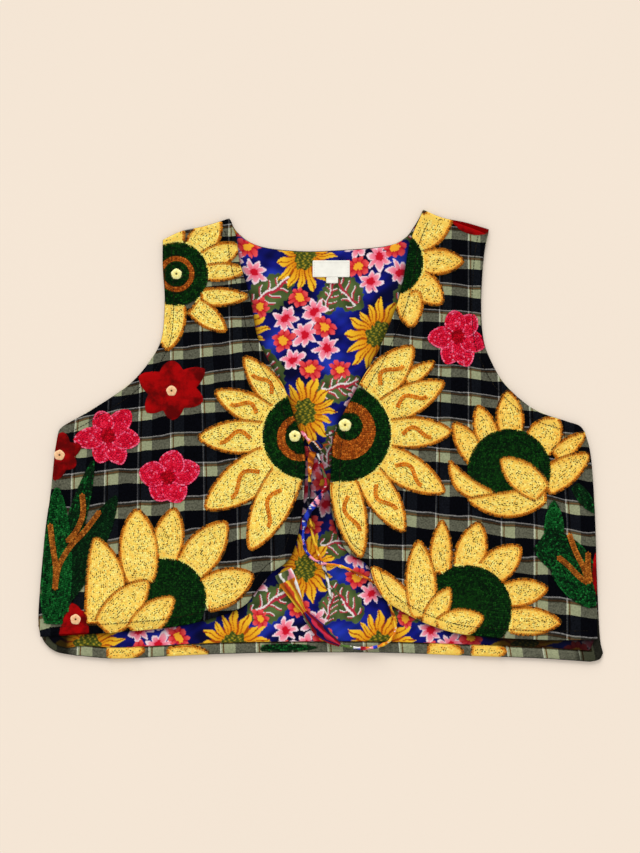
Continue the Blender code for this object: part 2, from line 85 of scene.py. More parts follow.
# The outer side of the back rests on its flattened stitches.
BACK_LIFT = 0.35
BACK_FLAT = 0.5
# How far apart the places of an outline are, and those of the lining's before and after its inset.
OUTLINE_STEP = 2.5
LINING_COARSE = 13.0
LINING_FINE = 3.0
# How far inside the cloth's edge stitches stay, other than those round a petal.
STITCH_EDGE = 1.1
# How many places are on each side of a petal, round a lobe and from one lobe of a star to the next.
PETAL_PLACES = 15
LOBE_PLACES = 30
STAR_PLACES = 18
# A lobe of a blossom of five is this wide. Where a flower has hooks, its petals longer than this carry one.
LOBE_WIDTH = 27.0
HOOKED_LENGTH = 50.0
# A hook starts and ends at these shares of its petal, and swings by this share of the petal's width.
HOOK_START = 0.20
HOOK_END = 0.66
HOOK_SWING = 0.16
# Petals whose turn lies between these two carry the other hand of hook.
HOOK_TURNS = (-45, 90)
# How blunt a petal's start is, for one that grows from a round centre and for another.
BLUNT_RAY = 0.22
BLUNT = 0.12
# This near to a flower's centre, a petal's edge has pale thread in place of orange where it runs round
# the centre, which is where less than this share of its way leads outwards.
BARE_BASE = 2.6
OUTWARD_SHARE = 0.6
# How golden the loose petals and those of the hem are.
LOOSE_TONE = 0.35
HEM_TONE = 0.5

# A run is one cut edge between two corners. Its margin is how far the lining stays inside it.
Run = namedtuple("Run", "name margin points")

LEFT_RUNS = (
    Run("shoulder", 0, ((-162, 201), (-143, 210), (-120, 215), (-94, 223))),
    Run(
        "front",
        0,
        (
            (-94, 223), (-87, 205), (-83, 178), (-72, 140), (-65, 102), (-52, 74), (-38, 51),
            (-25, 14), (-16, -15), (-17, -56), (-21, -92), (-31, -125), (-51, -142),
            (-66, -160), (-80, -176), (-112, -188), (-153, -197), (-207, -202), (-252, -205),
            (-288, -207),
        ),
    ),
    Run("side", 0, ((-288, -207), (-290, -182), (-284, -108), (-277, -56), (-273, -17), (-270, 1))),
    Run(
        "armhole",
        0,
        (
            (-270, 1), (-265, 9), (-234, 27), (-197, 52), (-175, 77), (-163, 101), (-160, 140),
            (-162, 173), (-162, 201),
        ),
    ),
)

RIGHT_RUNS = (
    Run("shoulder", 0, ((106, 232), (125, 224), (149, 219), (173, 212))),
    Run(
        "armhole",
        0,
        (
            (173, 212), (168, 186), (165, 140), (167, 101), (175, 77), (190, 52), (219, 27),
            (251, 15), (266, 10), (272, 3),
        ),
    ),
    Run("side", 0, ((272, 3), (278, -22), (282, -78), (284, -139), (285, -210))),
    Run(
        "front",
        0,
        (
            (285, -210), (226, -210), (151, -205), (113, -195), (88, -183), (67, -169),
            (56, -152), (48, -133), (25, -116), (11, -77), (11, -33), (16, 6), (42, 57), (59, 86),
            (76, 127), (84, 155), (92, 198), (106, 232),
        ),
    ),
)

BACK_RUNS = (
    Run("left shoulder", SEAM_MARGIN, LEFT_RUNS[0].points),
    Run(
        "neck",
        NECK_MARGIN,
        (
            (-94, 223), (-84, 208), (-62, 195), (-21, 190), (20, 191), (66, 195), (86, 203),
            (96, 215), (106, 232),
        ),
    ),
    Run("right shoulder", SEAM_MARGIN, RIGHT_RUNS[0].points),
    Run("right armhole", SEAM_MARGIN, RIGHT_RUNS[1].points),
    Run(
        "right side",
        SEAM_MARGIN,
        ((272, 3), (278, -22), (282, -78), (284, -139), (287, -205), (290.4, -224)),
    ),
    Run("right corner", HEM_DEPTH, ((290.4, -224), (287, -230), (278, -232.4))),
    Run(
        "hem",
        HEM_DEPTH,
        (
            (278, -232.4), (226, -229), (151, -226), (60, -223), (-40, -223), (-124, -225),
            (-207, -229), (-252, -226),
        ),
    ),
    Run("left corner", SEAM_MARGIN, ((-252, -226), (-272, -222), (-284, -212), (-290, -196))),
    Run("left side", SEAM_MARGIN, ((-290, -196), (-284, -108), (-277, -56), (-273, -17), (-270, 1))),
    Run("left armhole", SEAM_MARGIN, LEFT_RUNS[3].points),
)

# A flower has a round centre, with petals about it. Turns are in degrees from +X.
# Its hooks are 1 where each long petal carries a curled line, and its tone is how golden its petals are.
Flower = namedtuple("Flower", "x y radius hooks tone petals")
Ray = namedtuple("Ray", "turn length width")
Petal = namedtuple("Petal", "x y turn length width bend")
# A leaf's tone is 0 for the darkest thread and 1 for the brightest.
Leaf = namedtuple("Leaf", "x y turn length width bend tone")
# A blossom's lobes are (turn, reach). Its notch is how far out the places between them are.
Blossom = namedtuple("Blossom", "x y notch lobes")
Ring = namedtuple("Ring", "x y radius kind")

LEFT_FLOWERS = (
    Flower(-148, 166, 33, 0, 0.0, (
        Ray(99, 40, 31), Ray(52, 40, 31), Ray(24, 40, 25), Ray(3, 39, 20),
        Petal(-123, 142, 1, 50, 20, 0), Petal(-131, 134, -38, 44, 24, 0), Ray(-97, 47, 31),
    )),
    Flower(-15, 0, 45, 1, 0.0, (
        Ray(128, 59, 29), Ray(154, 60, 31), Ray(181, 67, 36), Ray(216, 84, 44), Ray(244, 87, 40),
    )),
    Flower(-159, -168, 42, 0, 0.3, (
        Petal(-161, -127, 78, 55, 33, 0), Ray(52, 60, 39), Petal(-121, -166, 24, 58, 40, 0),
    )),
)
LEFT_RINGS = (
    Ring(-148, 166, 18.5, "ring"),
    Ring(-148, 166, 13.5, "disc"),
    Ring(-148, 166, 5.6, "button"),
    Ring(-20.9, -2.4, 24, "ring"),
    Ring(-18.1, -1.4, 18.5, "disc"),
    Ring(-26.3, -0.5, 5.9, "button"),
)
LEFT_PETALS = (
    Petal(-185, -152, 93, 78, 41, 0),
    Petal(-228, -194, 92, 91, 42, -9),
    Petal(-224, -199, 47, 70, 36, 0),
    Petal(-192, -203, 42, 57, 31, 0),
)
LEFT_PINKS = (
    Blossom(-218, 0, 0.5, ((-110, 30), (-64, 33), (-10, 33), (49, 34), (112, 27), (188, 36))),
    Blossom(-157, -43, 0.5, ((-118, 27), (-61, 29), (17, 34.5), (73, 29), (168, 30))),
)
LEFT_STARS = (
    Blossom(-153, 46, 0.68, ((-139, 34), (-88, 30), (-19, 34), (33, 41), (90, 31), (156, 37))),
    Blossom(-268, -20, 0.7, ((-100, 27), (-35, 20), (22, 24), (80, 24), (180, 20))),
    Blossom(-251.5, -188.7, 0.75, ((-135, 24), (-50, 20), (20, 12), (104, 17), (165, 12))),
)
LEFT_LEAVES = (
    Leaf(-268, -146, 74, 128, 20, 0, 0.2),
    Leaf(-266, -168, 62, 122, 30, 0, 0.0),
    Leaf(-273, -194, 89, 143, 34, 0, 0.9),
)
LEFT_STEMS = (
    ((-245, -59), (-244, -80), (-251, -98), (-261, -110)),
    ((-226, -77), (-242, -98), (-257, -114), (-269, -135), (-273, -159)),
    ((-278, -90), (-275, -114), (-272, -137), (-273, -159)),
)

RIGHT_FLOWERS = (
    Flower(71, 178, 35, 0, 0.5, (
        Ray(40, 50, 36), Ray(1, 42, 28), Petal(98, 161, -43, 38, 30, 0), Petal(90, 149, -85, 39, 29, 0),
    )),
    Flower(23, 2, 50, 1, 0.2, (
        Petal(87, 56, 33, 37, 17, 0), Petal(51, 43, 48, 67, 38, 0), Ray(27, 68, 34), Ray(1, 63, 33),
        Ray(-30, 72, 36), Ray(-58, 70, 34), Petal(23, -46, -77, 83, 34, 0),
    )),
    Flower(194, -36, 43, 0, 0.6, (
        Petal(165, -27, 125, 50, 27, 0), Petal(175, -10, 108, 44, 25, 0), Petal(196, 3, 95, 44, 29, 0),
        Petal(222, -12, 53, 38, 36, 0), Petal(241, -22, 38, 41, 19, 0), Petal(229, -51, 34, 58, 31, 0),
    )),
    Flower(151, -179, 46, 0, 0.5, (
        Petal(123, -142, 88, 56, 24, 0), Petal(150, -137, 75, 51, 33, 0), Petal(171, -143, 40, 46, 34, 0),
        Petal(189, -164, 9, 46, 29, 0), Petal(194, -190, -2, 54, 30, 0),
    )),
)
RIGHT_RINGS = (
    Ring(26.3, 5.2, 30.5, "ring"),
    Ring(29, 9.3, 14.5, "disc"),
    Ring(25.2, 10.8, 6.4, "button"),
)
RIGHT_PETALS = (
    Petal(175, -62, 139, 57, 20, 9),
    Petal(232, -60, 184, 82, 28, 8),
    Petal(229, -60, 140, 58, 32, 0),
    Petal(98, -189, 130, 72, 26, 0),
    Petal(105, -188, 93, 82, 33, 0),
    Petal(110, -196, 60, 47, 24, 0),
    Petal(120, -199, 15, 50, 32, 0),
)
RIGHT_PINKS = (
    Blossom(141, 102, 0.5, ((-113, 31), (-71, 33), (-21, 30), (49, 28), (100, 27), (184, 31))),
)
RIGHT_STARS = (
    Blossom(162, 240, 1, ((-120, 34), (-60, 34), (90, 34))),
    Blossom(336, -140.6, 1, ((0, 57), (150, 57), (180, 57), (210, 57))),
)
RIGHT_LEAVES = (
    Leaf(240, -120, 90, 54, 21, 0, 0.9),
    Leaf(226, -106, -36, 72, 40, 0, 0.3),
    Leaf(243, -127, -52, 64, 32, 0, 0.7),
    Leaf(261, -51, -53, 37, 14, 0, 0.1),
)
RIGHT_STEMS = (
    ((255, -100), (262, -119), (270, -135), (275, -150)),
    ((243, -124), (254, -133), (267, -146), (276, -152)),
    ((275, -119), (275, -135), (277, -152)),
)
HemShape = namedtuple("HemShape", "kind petal")
HEM_SHAPES = (
    HemShape("petal", Petal(-220, -222, 2, 40, 20, 0)),
    HemShape("petal", Petal(-158, -225, 2, 44, 19, 0)),
    HemShape("leaf", Petal(-62, -219, 1, 60, 9, 0)),
    HemShape("petal", Petal(110, -221, -2, 38, 20, 0)),
    HemShape("petal", Petal(155, -221, -2, 37, 20, 0)),
)

# The back's own flowers, on its outer side.
BACK_FLOWERS = (
    Flower(-20, 60, 44, 0, 0.5, tuple(Ray(turn, 58, 33) for turn in range(0, 360, 40))),
    Flower(-190, -110, 38, 0, 0.5, tuple(Ray(turn, 50, 30) for turn in range(20, 380, 45))),
    Flower(170, -120, 40, 0, 0.5, tuple(Ray(turn, 50, 31) for turn in range(10, 370, 45))),
)
BACK_RINGS = (
    Ring(-20, 60, 22, "ring"),
    Ring(-20, 60, 15, "disc"),
)
BACK_PINKS = (
    Blossom(-120, 150, 0.5, tuple((turn, 30) for turn in range(20, 380, 72))),
    Blossom(110, 140, 0.5, tuple((turn, 30) for turn in range(50, 410, 60))),
    Blossom(-20, -150, 0.5, tuple((turn, 31) for turn in range(80, 440, 72))),
)
BACK_LEAVES = (
    Leaf(60, -60, -60, 90, 26, 6, 0.6),
    Leaf(-90, -40, -110, 90, 26, -6, 0.3),
)

# A fold is a soft ridge, centred at x, y, which runs along turn.
Fold = namedtuple("Fold", "x y turn length width rise")

LINING_FOLDS = (
    Fold(-38, 150, -62, 34, 9, 0.7),
    Fold(34, 112, 58, 30, 8, 0.6),
)
FRONT_FOLDS = (
    Fold(-30, 40, -62, 60, 16, 1.3),
    Fold(-90, -90, -20, 70, 20, 1.2),
    Fold(-45, -135, -45, 45, 15, 1.6),
    Fold(-150, -190, -8, 90, 13, 1.6),
    Fold(-200, 0, 10, 60, 18, 1.0),
    Fold(-110, 100, 80, 60, 18, 0.9),
    Fold(40, 40, 62, 60, 16, 1.3),
    Fold(110, -80, 12, 80, 20, 1.2),
    Fold(61, -158, -50, 28, 12, 4.6),
    Fold(150, -196, 6, 80, 13, 1.4),
    Fold(215, -120, 30, 60, 18, 1.0),
    Fold(130, 150, 84, 60, 18, 0.9),
)

# Ties: places along each one, with the height of its middle line above the surface.
TIE_LEFT = (
    (-19.6, 4.5, 5.1), (-17, 1, 4.9), (-14, -2.8, 5.1), (-10.6, -6.9, 5.4), (-8.2, -16.7, 5.2),
    (-10, -26, 4.7), (-11, -40, 4.7), (-11.5, -56, 4.7), (-12, -71, 4.7),
    (-10.5, -86, 4.7), (-8, -102, 4.7), (-3.5, -118, 4.7), (2, -131, 4.7), (6.5, -145, 4.7),
    (9, -157, 4.7), (10.5, -169, 4.7),
)
TIE_RIGHT = (
    (11.7, -10, 5.1), (9, -9.8, 5.0), (6, -9.9, 5.2), (1, -11.4, 5.4),
    (-2.5, -17, 5.2), (-1, -26, 4.7), (2.5, -35, 4.7), (5.5, -46, 4.7), (3.5, -56, 5.2),
    (-2.5, -66, 7.4), (-10.5, -76, 9.0), (-15.5, -86, 7.2), (-17.5, -97, 5.0), (-17.5, -108, 4.7),
    (-14.5, -119, 5.6), (-7.5, -127, 7.8), (1, -130.8, 9.0), (10, -132.5, 7.8), (20, -134, 5.4),
    (31, -138.5, 4.7), (42, -144, 4.7), (52, -149, 4.7), (61, -156, 4.7), (68, -166, 4.7),
    (72.5, -178, 4.7), (76, -191, 4.8), (76, -203, 5.0), (69.5, -212, 5.2), (58, -217, 5.2),
    (45, -218.5, 5.2), (32, -217.5, 5.2), (21, -215.5, 5.2),
)
KNOT = (-5.0, -11.0, 6.6)
KNOT_SIZE = (15.0, 12.0, 6.8)
END_ROUTE = ((19.9, -215.2), (6, -206), (-8, -192), (-20, -176), (-28, -160), (-38, -140))
Section = namedtuple("Section", "share half_width half_height")
END_SECTIONS = (
    Section(0.00, 2.2, 1.5),
    Section(0.10, 5.2, 2.2),
    Section(0.26, 7.6, 2.6),
    Section(0.42, 5.4, 2.4),
    Section(0.54, 2.6, 1.9),
    Section(0.64, 5.0, 2.4),
    Section(0.82, 8.6, 2.8),
    Section(0.96, 10.2, 2.8),
    Section(1.00, 9.6, 2.2),
)
END_FLOOR = 3.0

# How the check lies: the height of each white weft line at three places across a front.
Weft = namedtuple("Weft", "outer middle inner")
LEFT_WEFTS = (-268, -176, -73), (
    Weft(190, 208, 218),
    Weft(163, 181, 190),
    Weft(136, 154, 162),
    Weft(112, 136, 147),
    Weft(93, 113, 121),
    Weft(67, 87, 97),
    Weft(39, 58, 69.5),
    Weft(12, 32, 41),
    Weft(-13, -0.5, 9),
    Weft(-39, -32, -22),
    Weft(-73, -66, -55),
    Weft(-113, -102, -88),
    Weft(-147, -137.5, -126),
    Weft(-182, -171, -161),
    Weft(-216, -205, -196),
)
RIGHT_WEFTS = (61, 144, 236), (
    Weft(247, 241, 235),
    Weft(220, 214, 207),
    Weft(191, 185.5, 181),
    Weft(162, 155.5, 152),
    Weft(134, 128, 123),
    Weft(105, 99.5, 94),
    Weft(80, 71.5, 65),
    Weft(54, 45, 37),
    Weft(26, 17, 6),
    Weft(-8, -14, -24),
    Weft(-39, -48, -63),
    Weft(-74, -82, -94),
    Weft(-111, -118, -126),
    Weft(-146, -154, -166),
    Weft(-180, -190, -202),
    Weft(-214, -226, -238),
)
# Across: one white warp line, and the pitch of the warp at several heights.
Warp = namedtuple("Warp", "line heights pitches")
LEFT_WARP = Warp(-154.5, (-130, -45, 0, 88, 140), (34.5, 34, 33, 30.5, 29.9))
RIGHT_WARP = Warp(151.5, (-90, 0, 108, 212), (33.8, 32, 29.7, 29.4))
BACK_WARP = Warp(-177, (-230, -100, 0, 200), (37, 35, 33, 31))
BACK_WEFT_PITCH = 30.0
CHECK_PAST = 40
CHECK_BEND = 40
# Where in its repeat the dark band of the warp and of the weft starts, and how wide their white lines are.
WARP_DARK = 0.43
WEFT_DARK = 0.46
WARP_WHITE = 0.035
WEFT_WHITE = 0.034

# The printed cotton repeats every so many millimetres, across and down.
PRINT_REPEAT = np.array((150.0, 160.0))
PRINT_SHIFT = np.array((22.0, 60.0))
Motif = namedtuple("Motif", "kind x y radius turn")
PRINT_MOTIFS = (
    Motif("leaf", 78, 88, 30, 35),
    Motif("leaf", 2, 90, 27, 130),
    Motif("leaf", 74, 4, 29, 100),
    Motif("leaf", 148, 150, 26, 15),
    Motif("leaf", 138, 84, 20, 75),
    Motif("sunflower", 38, 44, 36, 0),
    Motif("sunflower", 112, 124, 34, 12),
    Motif("daisy", 112, 44, 15, 10),
    Motif("daisy", 134, 30, 14, 40),
    Motif("daisy", 92, 60, 14, 75),
    Motif("daisy", 122, 68, 14, 20),
    Motif("daisy", 100, 18, 13, 55),
    Motif("daisy", 38, 124, 15, 5),
    Motif("daisy", 16, 136, 14, 30),
    Motif("daisy", 60, 108, 14, 60),
    Motif("daisy", 30, 98, 13, 85),
    Motif("red", 90, 38, 12, 0),
    Motif("red", 132, 52, 12, 20),
    Motif("red", 118, 8, 12, 10),
    Motif("red", 106, 82, 11, 35),
    Motif("red", 54, 134, 12, 15),
    Motif("red", 16, 114, 12, 5),
    Motif("red", 38, 152, 11, 25),
    Motif("red", 148, 8, 11, 0),
    Motif("red", 66, 72, 10, 30),
)
# A printed bloom: how many petals it has, how deep they are cut, how sharp they are, its colours
# and its core's share.
Bloom = namedtuple("Bloom", "petals notch sharp inner outer line core share")
BLOOMS = {
    "sunflower": Bloom(15, 0.60, 0.7, (226, 140, 14), (250, 200, 44), (170, 74, 12), (78, 88, 26), 0.36),
    "daisy": Bloom(7, 0.46, 0.7, (240, 96, 124), (255, 184, 196), (248, 140, 160), (206, 16, 40), 0.30),
    "red": Bloom(8, 0.70, 0.6, (200, 22, 34), (240, 84, 84), (190, 18, 36), (246, 172, 44), 0.38),
}
PRINT_GROUND = (20, 26, 136)
PRINT_HAZE = (40, 76, 150)
PRINT_LEAF = (84, 104, 54)
PRINT_VEINS = ((238, 226, 222), (180, 44, 62))
PRINT_SEED = (168, 144, 36)
PRINT_RIM = (250, 222, 228)

# Along a tie: share of its length, and the print's colour on the two sides of the strip.
Stop = namedtuple("Stop", "share first second")
NAVY, BLUE, PINK, ROSE = (22, 26, 96), (40, 62, 190), (244, 150, 168), (206, 44, 70)
ORANGE, BROWN, YELLOW = (222, 122, 26), (140, 58, 20), (246, 196, 52)
GREEN, WHITE = (80, 112, 48), (240, 236, 228)
OLIVE, MAROON, GREY, BLACK = (92, 104, 62), (140, 18, 26), (58, 56, 60), (12, 12, 22)
LEFT_TIE_COLOURS = (
    Stop(0.00, PINK, ROSE),
    Stop(0.04, WHITE, PINK),
    Stop(0.07, YELLOW, ORANGE),
    Stop(0.11, ORANGE, BROWN),
    Stop(0.20, BROWN, ORANGE),
    Stop(0.26, BROWN, YELLOW),
    Stop(0.31, GREY, BLACK),
    Stop(0.52, YELLOW, BROWN),
    Stop(0.66, YELLOW, ORANGE),
    Stop(0.80, WHITE, GREY),
    Stop(0.93, OLIVE, WHITE),
)
RIGHT_TIE_COLOURS = (
    Stop(0.00, OLIVE, BROWN),
    Stop(0.03, NAVY, BLACK),
    Stop(0.06, WHITE, BLACK),
    Stop(0.09, MAROON, OLIVE),
    Stop(0.14, ROSE, MAROON),
    Stop(0.19, NAVY, PINK),
    Stop(0.24, NAVY, BLUE),
    Stop(0.34, PINK, BLUE),
    Stop(0.37, NAVY, BLUE),
    Stop(0.41, PINK, NAVY),
    Stop(0.47, YELLOW, ORANGE),
    Stop(0.55, BROWN, ORANGE),
    Stop(0.62, YELLOW, BROWN),
    Stop(0.76, ORANGE, YELLOW),
    Stop(0.86, YELLOW, ORANGE),
    Stop(0.885, NAVY, BLUE),
    Stop(0.90, ORANGE, PINK),
    Stop(0.92, ROSE, MAROON),
    Stop(0.94, WHITE, BLUE),
    Stop(0.96, OLIVE, GREEN),
)
# Round the gathered end, over its top from one side to the other. The rows are its narrow half, its flared
# half and its mouth, and the last two start at these shares of its length.
END_STARTS = (0.52, 0.9)
END_COLOURS = (
    (OLIVE, MAROON, NAVY, ROSE, MAROON, NAVY),
    (YELLOW, ORANGE, (206, 70, 34), YELLOW, ORANGE, WHITE),
    (OLIVE, OLIVE, WHITE, OLIVE, PINK, WHITE),
)
# Where along each tie its strip lies open: the middle of that stretch, its reach and how much wider it is.
Opened = namedtuple("Opened", "middle reach wider")
LEFT_OPEN = Opened(31.0, 16.0, 0.82)
RIGHT_OPEN = Opened(84.0, 22.0, 0.7)
TIE_PLIES = 10
TIE_STEP = 1.2
TIE_TURN = 0.28

THREADS = {
    "pale": ((255, 244, 140), (255, 234, 116), (255, 222, 98)),
    "gold": ((252, 200, 84), (246, 184, 68), (238, 168, 54)),
    "rope": ((220, 130, 22), (200, 106, 10), (238, 156, 44)),
    "edge": ((176, 98, 14), (92, 46, 10), (206, 124, 24)),
    "hook": ((226, 132, 24), (206, 106, 12), (238, 152, 40)),
    "disc": ((6, 46, 6), (2, 27, 4), (16, 66, 12)),
    "leaf": ((10, 84, 30), (4, 60, 18), (26, 108, 44)),
    "shade": ((4, 38, 12), (2, 24, 6), (12, 58, 20)),
    "ring": ((178, 88, 20), (146, 64, 10), (202, 112, 34)),
    "stem": ((166, 92, 24), (128, 64, 12), (190, 116, 38)),
    "pink": ((232, 22, 58), (212, 6, 42), (244, 48, 82)),
    "loop": ((246, 92, 128), (236, 56, 96), (248, 122, 150)),
    "heart": ((186, 0, 24), (156, 0, 16), (206, 8, 34)),
    "dark": ((72, 58, 18), (34, 30, 14), (120, 92, 30)),
    "seam": ((20, 16, 10), (12, 10, 8), (34, 26, 12)),
}
GROUNDS = {
    "petal": (244, 202, 88),
    "disc": (2, 26, 8),
    "leaf": (2, 26, 9),
    "ring": (96, 46, 8),
    "button": (180, 160, 100),
    "pink": (150, 4, 36),
    "heart": (110, 0, 12),
    "star": (110, 0, 0),
}
BUTTON_SHADES = ((255, 250, 178), (238, 220, 120))
STAR_SHADES = ((246, 206, 158), (228, 168, 120))
LABEL_WHITE = (253, 250, 238)
LABEL_THREAD = (214, 212, 204)

# The corners of a square, from its middle.
SQUARE = ((-1, -1), (1, -1), (1, 1), (-1, 1))

# The room, in metres, with angles in degrees and directions as vectors.
FLOOR_COLOUR = (246, 231, 214)
FLOOR_HALF = 6.0
FLOOR_LEVEL = -0.0002
CAMERA_PLACE = (-0.0005, 0.0093, 1.709)
LENS = 70
SENSOR = 36
WORLD_STRENGTH = 0.70
SUN_STRENGTH = 2.25
SUN_SPREAD = 34
SUN_WAY = (0.12, -0.90, -0.41)


def linear(colour):
    """A colour as it shows, 0 to 255, in linear light."""
    share = np.asarray(colour, float) / 255
    return np.where(share <= 0.04045, share / 12.92, ((share + 0.055) / 1.055) ** 2.4)


def unit(vectors):
    """Each row at length 1."""
    return vectors / np.maximum(np.linalg.norm(vectors, axis=1), 1e-9)[:, None]


def left_of(ways):
    """Each direction turned a quarter to its left."""
    return np.column_stack((-ways[:, 1], ways[:, 0]))


def axes(turn):
    """The directions along and across a turn in degrees."""
    turn = math.radians(turn)
    along = np.array((math.cos(turn), math.sin(turn)))
    return along, np.array((-along[1], along[0]))


def along_and_across(away, turn):
    """How far places that are away from a middle lie along a turn in degrees, and across it."""
    along, across = axes(turn)
    return away @ along, away @ across


def round_turns(count):
    """Even turns round a circle, in radians."""
    return np.arange(count) * math.tau / count


def run_lengths(line):
    """How far along an open line each of its places is."""
    return np.concatenate(([0], np.cumsum(np.linalg.norm(np.diff(line, axis=0), axis=1))))


def places_at(at, lengths, line):
    """The places of a flat line that are so far along it."""
    return np.column_stack([np.interp(at, lengths, line[:, axis]) for axis in (0, 1)])


def line_through(points, step):
    """Places at most step apart on a smooth curve through the points."""
    points = np.asarray(points, float)
    padded = np.vstack((2 * points[0] - points[1], points, 2 * points[-1] - points[-2]))
    found = []
    for first, start, end, last in zip(padded, padded[1:], padded[2:], padded[3:]):
        pieces = max(1, math.ceil(np.linalg.norm(end - start) / step))
        t = (np.arange(pieces) / pieces)[:, None]
        squared = (2 * first - 5 * start + 4 * end - last) * t**2
        cubed = (3 * start - first - 3 * end + last) * t**3
        found.append(0.5 * (2 * start + (end - first) * t + squared + cubed))
    return np.vstack((*found, points[-1:]))


def signed_area(line):
    following = np.roll(line, -1, axis=0)
    return 0.5 * float(np.sum(line[:, 0] * following[:, 1] - following[:, 0] * line[:, 1]))


def outline(runs, step):
    """The runs as one closed line, anticlockwise, and the margin at each of its places."""
    parts = [line_through(run.points, step)[:-1] for run in runs]
    margins = np.concatenate([np.full(len(part), float(run.margin)) for part, run in zip(parts, runs)])
    line = np.vstack(parts)
    if signed_area(line) < 0:
        return np.vstack((line[:1], line[:0:-1])), margins[::-1].copy()
    return line, margins


def even(line, step):
    """A closed line again, with its places step apart."""
    line = np.vstack((line, line[:1]))
    lengths = run_lengths(line)
    count = max(3, round(lengths[-1] / step))
    return places_at(np.linspace(0, lengths[-1], count + 1)[:-1], lengths, line)


def inward(line):
    """The direction into an anticlockwise closed line, at each of its places."""
    return left_of(unit(np.roll(line, -1, axis=0) - np.roll(line, 1, axis=0)))


def depth(places, line):
    """How far each place is inside a closed line, and below 0 outside it."""
    nearest = np.full(len(places), np.inf)
    inside = np.zeros(len(places), bool)
    for a, b in zip(line, np.roll(line, -1, axis=0)):
        edge = b - a
        away = places - a
        share = np.clip(away @ edge / max(edge @ edge, 1e-9), 0, 1)
        nearest = np.minimum(nearest, ((away - share[:, None] * edge) ** 2).sum(axis=1))
        if a[1] != b[1]:
            crossed = (a[1] > places[:, 1]) != (b[1] > places[:, 1])
            inside ^= crossed & (places[:, 0] < a[0] + away[:, 1] * edge[0] / edge[1])
    return np.where(inside, 1, -1) * np.sqrt(nearest)


def near_depth(places, line, reach=4.0):
    """As depth, but -reach wherever a place is further than reach from the line's box."""
    low, high = line.min(axis=0) - reach, line.max(axis=0) + reach
    close = ((places > low) & (places < high)).all(axis=1)
    found = np.full(len(places), -reach)
    if close.any():
        found[close] = np.maximum(depth(places[close], line), -reach)
    return found


def deepest(places, lines, reach):
    """How far each place is inside the line that it is deepest in, and at the least -reach."""
    found = np.full(len(places), -reach)
    for line in lines:
        found = np.maximum(found, near_depth(places, line, reach))
    return found


def grid_in(line, step, least):
    """Places on a staggered grid that lie at least least inside a closed line."""
    low, high = line.min(axis=0), line.max(axis=0)
    rows = np.arange(low[1] + step / 2, high[1], step * 0.87)
    columns = np.arange(low[0], high[0] + step, step)
    x, y = np.meshgrid(columns, rows)
    x = x + step / 2 * (np.arange(len(rows)) % 2)[:, None]
    places = np.column_stack((x.ravel(), y.ravel()))
    return places[depth(places, line) > least]


def triangles(border, lines, places):
    """(places, faces) that cover the border's area, with every line and place kept."""
    points = [Vector(place) for place in border]
    edges = []
    for line in lines:
        first = len(points)
        points += [Vector(place) for place in line]
        edges += [(first + i, first + (i + 1) % len(line)) for i in range(len(line))]
    points += [Vector(place) for place in places]
    found = delaunay_2d_cdt(points, edges, [list(range(len(border)))], 0, 1e-4, True)
    faces = [face for face, owner in zip(found[2], found[5]) if owner]
    return np.array(found[0]), np.array(faces)


def petal_line(petal, blunt=BLUNT):
    """A petal's edge: blunt where it starts, widest near its middle, narrow at its tip."""
    along, across = axes(petal.turn)
    share = 1 - (1 - np.arange(PETAL_PLACES) / (PETAL_PLACES - 0.45)) ** 1.25
    past = 2 * (blunt + (1 - blunt) * share) - 1
    swell = np.where(past < 0, (1 - np.abs(past) ** 2.4) ** 0.6, (1 - np.abs(past) ** 1.8) ** 0.72)
    middle = np.array((petal.x, petal.y)) + petal.length * share[:, None] * along
    middle = middle + (petal.bend * 4 * share * (1 - share))[:, None] * across
    side = (swell * petal.width / 2)[:, None] * across
    return np.vstack((middle - side, (middle + side)[::-1]))


def ray_petal(flower, ray):
    turn = math.radians(ray.turn)
    reach = flower.radius - 2
    x = flower.x + reach * math.cos(turn)
    y = flower.y + reach * math.sin(turn)
    return Petal(x, y, ray.turn, ray.length + 2, ray.width, 0)


def circle(x, y, radius, count=44):
    turn = round_turns(count)
    return np.column_stack((x + radius * np.cos(turn), y + radius * np.sin(turn)))


def lobe_line(x, y, turn, reach, width):
    """One lobe of a crocheted blossom, from near its middle."""
    along, across = axes(turn)
    around = round_turns(LOBE_PLACES)
    out = (reach + 2) / 2 + (reach - 2) / 2 * np.cos(around)
    bulge = np.sign(np.sin(around)) * np.abs(np.sin(around)) ** 1.15
    side = width / 2 * bulge * (1 - 0.12 * np.cos(around))
    return np.array((x, y)) + out[:, None] * along + side[:, None] * across


def blossom_line(blossom):
    """The edge of a star flower, which swings in between its lobes."""
    points = []
    turns = [*blossom.lobes, (blossom.lobes[0][0] + 360, blossom.lobes[0][1])]
    for (first, near), (last, far) in zip(turns, turns[1:]):
        share = np.arange(STAR_PLACES) / STAR_PLACES
        swing = 0.5 * (0.5 + 0.5 * np.cos(math.tau * share)) ** 0.7 + 0.5 * np.abs(1 - 2 * share)
        reach = (near + (far - near) * share) * (blossom.notch + (1 - blossom.notch) * swing)
        turn = np.radians(first + (last - first) * share)
        points.append(np.column_stack((blossom.x + reach * np.cos(turn), blossom.y + reach * np.sin(turn))))
    return np.vstack(points)


# A stitched shape: what it is, its closed line, its colours' tone and the petal it came from.
Shape = namedtuple("Shape", "kind line tone petal")


